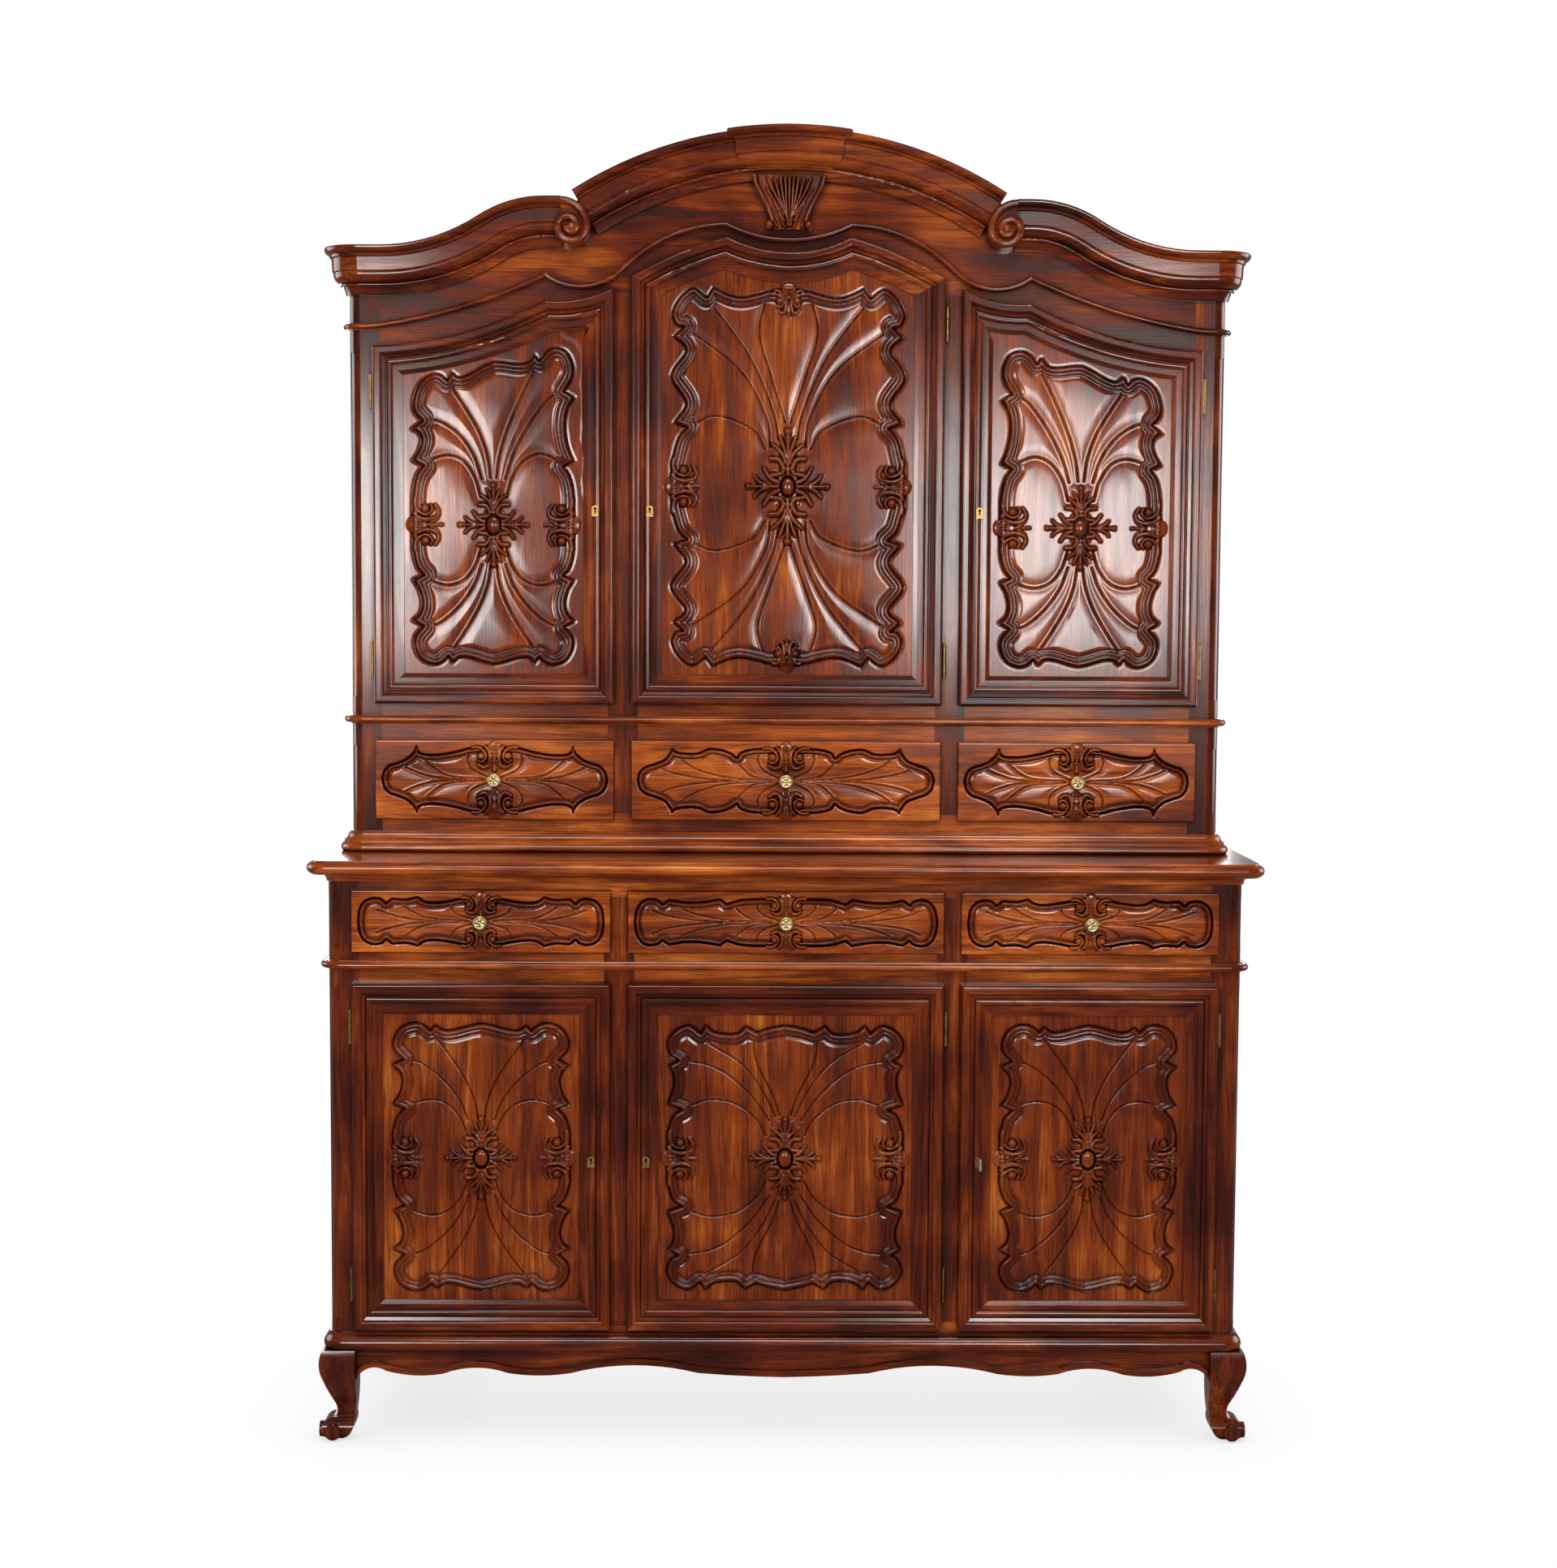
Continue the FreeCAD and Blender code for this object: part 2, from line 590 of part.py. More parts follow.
def hinge_halves(door, height):
    """Both halves of one pin hinge: the case half carries the pin, the door half drops over it."""
    case_leaf = leaf_on_case(door, height)
    door_leaf = leaf_on_door(door, height)
    x, y = door.axis_x, door.axis_y
    lower = rod("hinge_radius", "hinge_half", x, y, f"{height} - hinge_axial_gap / 2 - hinge_half")
    pin = rod("hinge_pin_radius", "hinge_half + hinge_half / 2", x, y, f"{height} - hinge_half / 2")
    upper = rod("hinge_radius", "hinge_half", x, y, f"{height} + hinge_axial_gap / 2")
    bore = rod("hinge_pin_radius + pin_clearance", "hinge_half + overrun", x, y, f"{height} - overrun / 2")
    door.leaves.append(door_leaf)
    door.case_leaves.append(case_leaf)
    door.fittings.append(cut(joined([upper, door_leaf]), [bore]))
    case_hinges.append(joined([lower, pin, case_leaf]))


def origin_plane(body, role):
    return next(item for item in body.Origin.OriginFeatures if item.Role == role)


def sketched(body, plane, corners):
    """A closed outline of straight edges whose corners are bound to the sheets."""
    sketch = body.newObject("Sketcher::SketchObject", next_name("outline"))
    sketch.AttachmentSupport = [(origin_plane(body, plane), "")]
    sketch.MapMode = "FlatFace"
    spots = [Vector(value(x), value(y), 0) for x, y in corners]
    count = len(spots)
    for number in range(count):
        sketch.addGeometry(Part.LineSegment(spots[number], spots[(number + 1) % count]), False)
    for number in range(count):
        sketch.addConstraint(Sketcher.Constraint("Coincident", number, 2, (number + 1) % count, 1))
    for number, corner in enumerate(corners):
        for kind, formula, axis in zip(("DistanceX", "DistanceY"), corner, (-2, -1)):
            if formula == "0":
                sketch.addConstraint(Sketcher.Constraint("PointOnObject", number, 1, axis))
                continue
            amount = value(formula)
            row = sketch.addConstraint(Sketcher.Constraint(kind, -1, 1, number, 1, amount))
            bind(sketch, f"Constraints[{row}]", formula)
    return sketch


def escutcheon_block(door):
    """The outline that the keyhole liner fills in the stile: straight sides under a round head."""
    half, foot = "escutcheon_width / 2", "escutcheon_height - escutcheon_width / 2"
    y = (f"{door.back} - escutcheon_front", f"{door.back} - escutcheon_back")
    block = board((f"{door.lock_x} - {half}", f"{door.lock_x} + {half}"), y,
                  (f"{door.lock_z} - ({foot})", door.lock_z))
    head = rod(half, "escutcheon_front - escutcheon_back", door.lock_x, y[1], door.lock_z, FORWARD)
    return joined([block, head])


def keyhole_cut(door):
    """The keyhole through the liner and the stile, round where a key turns in it."""
    front, back = f"{door.back} - escutcheon_front - overrun", f"{door.back} + overrun"
    radius = "key_radius + key_clearance" if door.name == KEYED_DOOR else "keyhole_radius"
    hole = rod(radius, "escutcheon_front + 2 * overrun", door.lock_x, back, door.lock_z, FORWARD)
    if door.name == KEYED_DOOR:
        return hole
    slot = board((f"{door.lock_x} - keyhole_slot / 2", f"{door.lock_x} + keyhole_slot / 2"), (front, back),
                 (f"{door.lock_z} - keyhole_drop", door.lock_z))
    return joined([hole, slot])


def lock_case(door):
    """The lock on the back of the stile, just inside the opening."""
    near = f"{door.opening_free} + {door.hinge} * lock_edge_gap"
    far = f"{near} + {door.hinge} * lock_case_width"
    x = (near, far) if door.hinge > 0 else (far, near)
    z = (f"{door.lock_z} - lock_case_height / 2", f"{door.lock_z} + lock_case_height / 2")
    case = board(x, (door.back, f"{door.back} + lock_case_depth"), z)
    if door.name != KEYED_DOOR:
        return case
    return cut(case, [bolt_channel(door, x), key_well(door)])


def bolt_layer(slack):
    """The layer behind the key in which the bolt slides."""
    return (f"lower_face - door_gap + lock_case_depth - bolt_back - bolt_thick - bolt_clearance - {slack}",
            f"lower_face - door_gap + lock_case_depth - bolt_back - bolt_clearance + {slack}")


def bolt_channel(door, x):
    half = "bolt_height / 2 + bolt_clearance"
    return board((f"{x[0]} - overrun", x[1] + " - lock_plate"), bolt_layer("bolt_clearance"),
                 (f"{door.lock_z} - ({half})", f"{door.lock_z} + {half}"))


def key_well(door):
    """The round space in which the key's bit turns, with the key's own hole in front of it."""
    well = rod("key_well_radius", "key_bit_length + 2 * key_clearance", door.lock_x,
               f"{door.back} + lock_plate + key_bit_length + key_clearance", door.lock_z, FORWARD)
    hole = rod("key_radius + key_clearance", "lock_plate + overrun", door.lock_x,
               f"{door.back} + lock_plate + key_clearance", door.lock_z, FORWARD)
    return joined([well, hole])


def build_key(door):
    """The key: an open bow on a round shank, with a bit that turns in the lock."""
    front = f"{door.back} - door_thick - key_reach"
    shank_end = f"{door.back} + lock_plate + key_bit_length"
    shank = rod("key_radius", f"({shank_end}) - ({front})", door.lock_x, shank_end, door.lock_z, FORWARD)
    x = (f"{door.lock_x} - key_bow_thick / 2", f"{door.lock_x} + key_bow_thick / 2")
    y = (f"{front} - key_bow_length", front)
    half = "key_bow_height / 2"
    bow = board(x, y, (f"{door.lock_z} - {half}", f"{door.lock_z} + {half}"))
    window = board((f"{x[0]} - overrun", f"{x[1]} + overrun"),
                   (f"{y[0]} + key_bow_rim", f"{y[1]} - key_bow_rim"),
                   (f"{door.lock_z} - {half} + key_bow_rim", f"{door.lock_z} + {half} - key_bow_rim"))
    bit = board((f"{door.lock_x} - key_bit_thick / 2", f"{door.lock_x} + key_bit_thick / 2"),
                (f"{door.back} + lock_plate + key_clearance", shank_end),
                (f"{door.lock_z} - key_bit_drop", door.lock_z))
    label(joined([cut(bow, [window]), shank, bit]), f"{door.name}_key")


def build_bolt(door):
    near = f"{door.opening_free} + lock_edge_gap"
    z = (f"{door.lock_z} - bolt_height / 2", f"{door.lock_z} + bolt_height / 2")
    label(board((near, f"{near} + bolt_length"), bolt_layer("0"), z), f"{door.name}_lock_bolt")


def bolt_mortise(door):
    """The hole in the mullion's edge that the bolt shoots into."""
    half = "(bolt_height / 2 + bolt_clearance)"
    z = (f"{door.lock_z} - {half}", f"{door.lock_z} + {half}")
    x = (f"{door.opening_free} - bolt_throw", f"{door.opening_free} + overrun")
    return board(x, bolt_layer("bolt_clearance"), z)


def door_head(door, outer, inner, drop):
    """Head edges of one door, right to left."""
    if door.tier == "lower":
        top = value(door.corner) - drop
        return [((outer, top), (inner, top))]
    if door.bay == 0:
        return centre_head(max(outer, inner), drop)
    head = side_head(max(abs(outer), abs(inner)), min(abs(outer), abs(inner)), drop)
    return head if door.bay > 0 else mirrored(head)


def build_panel(door, outline):
    """The carved panel held in the frame's groove."""
    back = value(door.back) - d.panel_back
    inset = d.rail_width - d.panel_seat + d.panel_clearance
    wire = Part.Wire(Part.__sortEdges__(front_edges(outline, back)))
    edge = wire.makeOffset2D(-inset, 2)
    blank = Part.Face(edge).extrude(Vector(0, -d.panel_thick, 0))
    face = back - d.panel_thick
    left, right = sorted((value(door.hinge_edge), value(door.free_edge)))
    low = value(door.low)
    centre_x = (left + right) / 2
    half_width = (right - left) / 2 - d.rail_width - d.rib_margin
    high = value(door.corner)
    lift = 0
    if door.tier == "upper":
        rise = d.side_cusp_rise + d.side_inner_rise if door.bay else d.centre_cusp_rise - d.centre_sag
        high += rise / 2 if door.bay else rise
        lift = -door.bay * d.side_cusp_rise / (2 * half_width) if door.bay else 0
    centre_z = (low + high) / 2
    half_height = (high - low) / 2 - d.rail_width - d.rib_margin
    centre = (centre_x, centre_z)
    pieces = [rib(door_scallop_shares, centre, half_width, half_height, lift, d.rib_width, face, d.rib_height)]
    pieces.append(rosette(centre, face))
    for sign in (-1, 1):
        place = centre_x + sign * (half_width - d.scroll_radius)
        pieces += scroll_pair(place, centre_z, (0, 1), d.scroll_gap, d.scroll_radius, d.scroll_eye_radius,
                              face, d.scroll_height)
    label(formed(blank.fuse(pieces).removeSplitter()), f"{door.name}_door_panel")


def build_door(door):
    set_places(door)
    door.leaves, door.case_leaves, door.fittings = [], [], []
    for height in door.hinge_heights:
        hinge_halves(door, height)
    right, left = sorted((value(door.hinge_edge), value(door.free_edge)), reverse=True)
    outline = door_outline(right, left, value(door.low), door_head(door, right, left, 0))
    members = moulded(outline, door_rail_shares, d.rail_width, d.door_thick, value(door.back), True)
    frame = formed(Part.makeCompound(members))
    liner = escutcheon_block(door)
    hole = keyhole_cut(door)
    label(cut(frame, door.leaves + [liner, hole]), f"{door.name}_door_frame")
    build_panel(door, outline)
    door.fittings += [cut(liner, [hole]), lock_case(door)]
    label(group(door.fittings), f"{door.name}_door_fittings")
    if door.name == KEYED_DOOR:
        build_key(door)
        build_bolt(door)


case_hinges = []
for each_door in DOORS:
    build_door(each_door)
label(group(case_hinges), "case_hinge_halves")


# Six drawers

def build_knob(name, x, front, z):
    """A turned brass knob with a flat round head on a waisted neck, its spigot in the drawer front."""
    body = doc.addObject("PartDesign::Body", next_name("knob"))
    neck_top = "knob_length - knob_head"
    profile = [
        ("0", "-knob_spigot"), ("knob_spigot_radius", "-knob_spigot"), ("knob_spigot_radius", "0"),
        ("knob_base_radius", "0"), ("knob_base_radius", "knob_base"), ("knob_neck_radius", "2 * knob_base"),
        ("knob_neck_radius", neck_top), ("knob_radius", f"{neck_top} + knob_base"),
        ("knob_radius", "knob_length"), ("0", "knob_length"),
    ]
    sketch = sketched(body, "XY_Plane", profile)
    turned = body.newObject("PartDesign::Revolution", next_name("turned"))
    turned.Profile = sketch
    turned.ReferenceAxis = (sketch, ["V_Axis"])
    turned.Angle = 360
    doc.recompute()
    rims = []
    for number, edge in enumerate(turned.Shape.Edges, start=1):
        is_round = isinstance(edge.Curve, Part.Circle)
        if is_round and math.isclose(edge.Curve.Radius, d.knob_radius):
            rims.append(f"Edge{number}")
    rounded = body.newObject("PartDesign::Fillet", next_name("rim"))
    rounded.Base = (turned, rims)
    bind(rounded, "Radius", "knob_round")
    body.Placement = FreeCAD.Placement(Vector(), FreeCAD.Rotation(Vector(0, 0, 1), 180))
    for axis, formula in zip("xyz", (x, front, z)):
        bind(body, f"Placement.Base.{axis}", formula)
    label(body, name)


def drawer_relief(tier, left, right, low, high, face):
    """Scalloped rib and the two pairs of scrolls carved on a drawer front."""
    shares = upper_drawer_scallop_shares if tier == "upper" else lower_drawer_scallop_shares
    centre = ((left + right) / 2, (low + high) / 2)
    half_width = (right - left) / 2 - d.drawer_rib_margin
    half_height = (high - low) / 2 - d.drawer_rib_margin
    pieces = [rib(shares, centre, half_width, half_height, 0, d.drawer_rib_width, face, d.drawer_rib_height)]
    for sign in (-1, 1):
        z = centre[1] + sign * (half_height - d.drawer_scroll_radius)
        pieces += scroll_pair(centre[0], z, (1, 0), d.drawer_scroll_gap, d.drawer_scroll_radius,
                              d.drawer_eye_radius, face, d.drawer_rib_height)
    return formed(pieces[0].fuse(pieces[1:]))


def build_drawer(tier, bay):
    name = f"{tier}_{('centre', 'right', 'left')[bay]}_drawer"
    face = f"{tier}_face"
    low, high = f"{tier}_drawer_low", f"{tier}_drawer_high"
    near, far = "-centre_open_half", "centre_open_half"
    if bay != 0:
        near, far = span(bay, "side_open_in", f"{tier}_open_out")
    lip_back = f"{face} - drawer_lip_gap"
    lip_front = f"{lip_back} - drawer_lip"
    block_back = f"{lip_back} + drawer_block"
    lip_x = (f"{near} - door_overlap", f"{far} + door_overlap")
    lip_z = (f"{low} - door_overlap", f"{high} + door_overlap")
    box_x = (f"{near} + drawer_side_gap", f"{far} - drawer_side_gap")
    box_z = (f"{low} + running_gap", f"{high} - drawer_top_gap")
    middle_x, middle_z = f"({near} + {far}) / 2", f"({low} + {high}) / 2"
    relief = drawer_relief(tier, value(lip_x[0]), value(lip_x[1]), value(lip_z[0]), value(lip_z[1]),
                           value(lip_front))
    spigot_end = f"{lip_front} + knob_spigot"
    spigot = rod("knob_spigot_radius", "knob_spigot", middle_x, spigot_end, middle_z, FORWARD)
    lip = board(lip_x, (lip_front, lip_back), lip_z)
    blank = joined([lip, board(box_x, (lip_back, block_back), box_z), relief])
    label(cut(blank, [spigot]), f"{name}_front")
    back_end = "back_inside - drawer_back_gap"
    length = (block_back, back_end)
    inner_x = (f"{box_x[0]} + drawer_side_thick", f"{box_x[1]} - drawer_side_thick")
    bottom_z = (f"{box_z[0]} + drawer_bottom_rise", f"{box_z[0]} + drawer_bottom_rise + drawer_bottom_thick")
    boards = [
        board((box_x[0], inner_x[0]), length, box_z),
        board((inner_x[1], box_x[1]), length, box_z),
        board(inner_x, (f"{back_end} - drawer_side_thick", back_end), (bottom_z[1], box_z[1])),
        board(inner_x, length, bottom_z),
    ]
    label(group(boards), f"{name}_box")
    build_knob(f"{name}_knob", middle_x, lip_front, middle_z)


for each_tier in ("lower", "upper"):
    for each_bay in (-1, 0, 1):
        build_drawer(each_tier, each_bay)


# Carcass of both cases

def front_post(tier, side, low, high, caps):
    """A front post whose outer corner is recessed for a slender column between round caps."""
    half, face = f"{tier}_half", f"{tier}_face"
    x = span(side, f"{tier}_open_out", half)
    centre = (f"{side} * ({half} - corner_round)", f"{face} + corner_round")
    block = board(x, (face, f"{face} + frame_thick"), (low, high))
    notch = board(span(side, f"{half} - corner_round", f"{half} + overrun"),
                  (f"{face} - overrun", centre[1]), (f"{low} - overrun", f"{high} + overrun"))
    quarter_turn = FreeCAD.Rotation(Vector(0, 0, 1), -90 if side > 0 else 180)
    rounds = [rod("corner_round - column_recess", f"({high}) - ({low})", *centre, low, quarter_turn)]
    for bottom, top in caps:
        rounds.append(rod("corner_round", f"({top}) - ({bottom})", *centre, bottom, quarter_turn))
    for quarter in rounds:
        quarter.Angle = 90
    post = joined([cut(block, [notch]), *rounds])
    leaves = []
    for door in DOORS:
        if door.tier == tier and door.bay == side:
            leaves += door.case_leaves
    return cut(post, leaves)


def end_board(tier, side, low, high):
    """The plain board that closes one end behind the post."""
    x = span(side, f"{tier}_side_in", f"{tier}_half - side_inset")
    return board(x, (f"{tier}_inside", "back_y"), (low, high))


def face_frame(tier, drawer_low, drawer_high, door_low, door_high, levels, mullion_z):
    """Rails between the posts, with two mullions that carry the middle door and the bolts."""
    y = (f"{tier}_face", f"{tier}_inside")
    full = (f"-{tier}_open_out", f"{tier}_open_out")
    rails = [board(full, y, level) for level in levels]
    middle = ("-centre_open_half", "centre_open_half")
    gap = (min(drawer_high, door_high, key=value), max(drawer_low, door_low, key=value))
    mid_x = [middle] + [span(side, "side_open_in", f"{tier}_open_out") for name, side in SIDES]
    rails += [board(x, y, gap) for x in mid_x]
    for name, side in SIDES:
        mullion = board(span(side, "centre_open_half", "side_open_in"), y, mullion_z)
        tools = []
        for door in DOORS:
            if door.tier == tier and door.bay == 0 and door.hinge == side:
                tools += door.case_leaves
            if door.tier == tier and door.name == KEYED_DOOR and door.bay == side:
                tools.append(bolt_mortise(door))
        rails.append(cut(mullion, tools) if tools else mullion)
    return group(rails)


def bay_ranges(tier):
    """X ranges of the three bays between end boards and partitions."""
    ranges = [("-partition_in", "partition_in")]
    ranges += [span(side, "partition_out", f"{tier}_side_in") for name, side in SIDES]
    return ranges


def guides(tier):
    """Strips beside each drawer that keep it straight."""
    z = (f"{tier}_drawer_low", f"{tier}_drawer_low + guide_height")
    y = (f"{tier}_inside", "back_inside")
    strips = []
    for name, side in SIDES:
        strips.append(board(span(side, "centre_open_half", "partition_in"), y, z))
        strips.append(board(span(side, "partition_out", "side_open_in"), y, z))
        strips.append(board(span(side, f"{tier}_open_out", f"{tier}_side_in"), y, z))
    return strips


lower_caps = [("leg_height", "lower_door_low"), ("lower_door_high", "lower_drawer_low"),
              ("lower_drawer_high", "counter_low")]
upper_caps = [("counter_top_z", "upper_drawer_low"), ("upper_drawer_high", "upper_door_low"),
              ("upper_corner_z", "post_top")]
lower_ends, upper_ends = [], []
for side_name, each_side in SIDES:
    lower_ends.append(front_post("lower", each_side, "leg_height", "counter_low", lower_caps))
    lower_ends.append(end_board("lower", each_side, "leg_height", "counter_low"))
    upper_ends.append(front_post("upper", each_side, "counter_top_z", "post_top", upper_caps))
    upper_ends.append(end_board("upper", each_side, "counter_top_z", "post_top"))
label(group(lower_ends), "lower_ends")
label(group(upper_ends), "upper_ends")

lower_levels = [("leg_height", "lower_door_low"), ("lower_drawer_high", "counter_low")]
label(face_frame("lower", "lower_drawer_low", "lower_drawer_high", "lower_door_low",
                 "lower_door_high", lower_levels, ("lower_door_low", "lower_drawer_high")), "lower_face_frame")
upper_levels = [("counter_top_z", "upper_drawer_low")]
label(face_frame("upper", "upper_drawer_low", "upper_drawer_high", "upper_door_low",
                 "upper_corner_z", upper_levels, ("upper_drawer_low", "side_inner_z")), "upper_face_frame")

lower_deep, upper_deep = ("lower_inside", "back_inside"), ("upper_inside", "back_inside")
lower_wide, upper_wide = ("-lower_side_in", "lower_side_in"), ("-upper_side_in", "upper_side_in")
lower_boards = guides("lower")
lower_boards.append(board(lower_wide, lower_deep, ("lower_door_low - board_thick", "lower_door_low")))
for side_name, each_side in SIDES:
    lower_boards.append(board(span(each_side, "partition_in", "partition_out"), lower_deep,
                              ("lower_door_low", "counter_low")))
lower_shelf = "lower_door_low + lower_door_opening / 2"
for bay_x in bay_ranges("lower"):
    lower_boards.append(board(bay_x, lower_deep, ("lower_drawer_low - deck_thick", "lower_drawer_low")))
    lower_boards.append(board(bay_x, ("lower_inside + shelf_setback", "back_inside"),
                              (lower_shelf, f"{lower_shelf} + shelf_thick")))
label(group(lower_boards), "lower_inner_boards")

upper_boards = guides("upper")
upper_boards.append(board(upper_wide, upper_deep, ("counter_top_z", "counter_top_z + board_thick")))
for side_name, each_side in SIDES:
    upper_boards.append(board(span(each_side, "partition_in", "partition_out"), upper_deep,
                              ("counter_top_z + board_thick", "centre_roof")))
    upper_boards.append(board(span(each_side, "partition_out", "upper_side_in"), upper_deep,
                              ("side_roof", "side_roof + deck_thick")))
upper_boards.append(board(("-partition_out", "partition_out"), upper_deep,
                          ("centre_roof", "centre_roof + deck_thick")))
upper_shelves = ["upper_door_low + upper_corner_height / 3", "upper_door_low + 2 * upper_corner_height / 3"]
for bay_x in bay_ranges("upper"):
    upper_boards.append(board(bay_x, upper_deep, ("upper_drawer_low - deck_thick", "upper_drawer_low")))
    upper_boards.append(board(bay_x, upper_deep, ("upper_door_low - board_thick", "upper_door_low")))
    for shelf in upper_shelves:
        upper_boards.append(board(bay_x, ("upper_inside + shelf_setback", "back_inside"),
                                  (shelf, f"{shelf} + shelf_thick")))
label(group(upper_boards), "upper_inner_boards")

back_deep = ("back_inside", "back_y")
label(board(lower_wide, back_deep, ("lower_door_low - board_thick", "counter_low")), "lower_back")
label(group([board(upper_wide, back_deep, ("counter_top_z", "side_roof + deck_thick")),
             board(("-partition_out", "partition_out"), back_deep,
                   ("side_roof + deck_thick", "centre_roof + deck_thick"))]), "upper_back")

# Counter and level mouldings

nose_half = d.counter_width / 2 - d.counter_nose
nose_face = -d.counter_depth / 2 + d.counter_nose
nose_edge = surround(nose_shares, d.counter_thick, d.counter_nose, nose_half, nose_face, d.counter_top_z)
core_half = "counter_width / 2 - counter_nose - corner_round"
core_x = (f"-({core_half})", core_half)
counter_z = ("counter_low", "counter_top_z")
core_front = "counter_nose - counter_depth / 2"
counter_parts = [board(core_x, (core_front, "back_y"), counter_z)]
for side_name, each_side in SIDES:
    edge_x = span(each_side, core_half, "counter_width / 2 - counter_nose")
    counter_parts.append(board(edge_x, (f"{core_front} + corner_round", "back_y"), counter_z))
    counter_parts.append(rod("corner_round", "counter_thick",
                             f"{each_side} * (counter_width / 2 - counter_nose - corner_round)",
                             f"{core_front} + corner_round", "counter_low"))
label(joined([formed(piece) for piece in nose_edge] + counter_parts), "counter_top")

plinth = surround(plinth_shares, d.plinth_height, d.plinth_proud, d.lower_half, d.lower_face,
                  d.leg_height + d.plinth_height)
label(formed(Part.makeCompound(plinth)), "plinth_moulding")
lower_waist = surround(waist_shares, d.waist_height, d.waist_proud, d.lower_half, d.lower_face,
                       d.lower_door_high + d.lower_waist_rise + d.waist_height)
cove = surround(cove_shares, d.cove_height, d.cove_proud, d.lower_half, d.lower_face, d.counter_low)
label(formed(Part.makeCompound(lower_waist + cove)), "lower_mouldings")
base_moulding = surround(base_shares, d.base_height, d.base_proud, d.upper_half, d.upper_face,
                         d.counter_top_z + d.base_height)
upper_waist = surround(waist_shares, d.waist_height, d.waist_proud, d.upper_half, d.upper_face,
                       d.upper_drawer_high + d.upper_waist_rise + d.waist_height)
label(formed(Part.makeCompound(base_moulding + upper_waist)), "upper_mouldings")

# Legs and apron

leg_shares = [
    (0, 1), (.95, 1), (1.02, .84, .95, .7), (.8, .545, .62, .39), (.565, .31, .58, .235), (.97, .12, .667, 0),
    (.5, 0), (.2, .06, .06, .25), (.01, .45, 0, .64),
]


def scroll_leg(side):
    """A cabriole leg sawn to the same curve from the front and from the end, with a scroll on each face."""
    inner_x = d.lower_half + d.leg_proud - d.leg_width
    inner_y = d.lower_face - d.leg_proud + d.leg_width
    from_front = profile_face(leg_shares, d.leg_width, d.leg_height,
                              lambda u, v: Vector(side * (inner_x + u), inner_y, v))
    from_end = profile_face(leg_shares, d.leg_width, d.leg_height,
                            lambda u, v: Vector(side * inner_x, inner_y - u, v))
    reach = 2 * d.leg_width
    leg = from_front.extrude(Vector(0, -reach, 0)).common(from_end.extrude(Vector(side * reach, 0, 0)))
    scroll_x = inner_x + d.leg_width - d.foot_scroll_radius - d.leg_proud / 2
    scroll_y = inner_y - d.leg_width + d.foot_scroll_radius + d.leg_proud / 2
    height = d.foot_scroll_radius + d.foot_scroll_proud
    length = d.foot_scroll_radius + d.leg_proud / 2 + d.foot_scroll_proud
    on_front = Part.makeCylinder(d.foot_scroll_radius, length, Vector(side * scroll_x, scroll_y, height),
                                 Vector(0, -1, 0))
    on_end = Part.makeCylinder(d.foot_scroll_radius, length, Vector(side * scroll_x, scroll_y, height),
                               Vector(side, 0, 0))
    return leg.fuse([on_front, on_end]).removeSplitter()


leg_solids = [formed(scroll_leg(each_side)) for side_name, each_side in SIDES]
for side_name, each_side in SIDES:
    leg_solids.append(board(span(each_side, "lower_half - rear_leg_width", "lower_half"),
                            ("back_y - rear_leg_width", "back_y"), ("0", "leg_height")))
label(group(leg_solids), "legs")

apron_half = d.lower_half + d.leg_proud - d.leg_width
apron_shares = [
    [(0, .7), (.1, .715, .2, .745)], [(.2, .745), (.355, .83, .5, .74)], [(.5, .74), (.56, .715, .644, .74)],
    [(.644, .74), (.72, .8, .796, .733)], [(.796, .733), (.868, .715, .93, .765)],
    [(.93, .765), (.98, .77, 1, .65)],
]


def apron_edge(lift):
    """Scalloped lower edge of the apron, left to right."""
    half = []
    for start, rest in apron_shares:
        spots = [start, rest[:2], rest[2:]]
        half.append(tuple((x * apron_half, z * d.leg_height + lift) for x, z in spots))
    return mirrored(half) + half


def apron_board(lift_low, high_edge, back, front):
    low_edge = apron_edge(lift_low)
    start, end = low_edge[0][0], low_edge[-1][-1]
    high_start, high_end = high_edge[0][0], high_edge[-1][-1]
    return front_slab(low_edge + [(end, high_end)] + reverse(high_edge) + [(high_start, start)], back, front)


top_edge = [((-apron_half, d.leg_height), (apron_half, d.leg_height))]
apron = apron_board(0, top_edge, d.lower_face + d.apron_thick, d.lower_face)
apron_rim = apron_board(0, apron_edge(d.apron_bead), d.lower_face, d.lower_face - d.apron_bead_proud)
apron_parts = [formed(apron.fuse(apron_rim).removeSplitter())]
for side_name, each_side in SIDES:
    apron_parts.append(board(span(each_side, "lower_half - apron_thick", "lower_half"),
                             ("lower_face + leg_width - leg_proud", "back_y - rear_leg_width"),
                             ("leg_height - end_apron_drop", "leg_height")))
label(group(apron_parts), "apron")

# Frieze, cornice, keystone and corbel

arch_top = d.cornice_z + d.arch_rise
arch_centre = (0, arch_top - d.arch_radius)
wing_angle = math.radians(d.wing_turn)


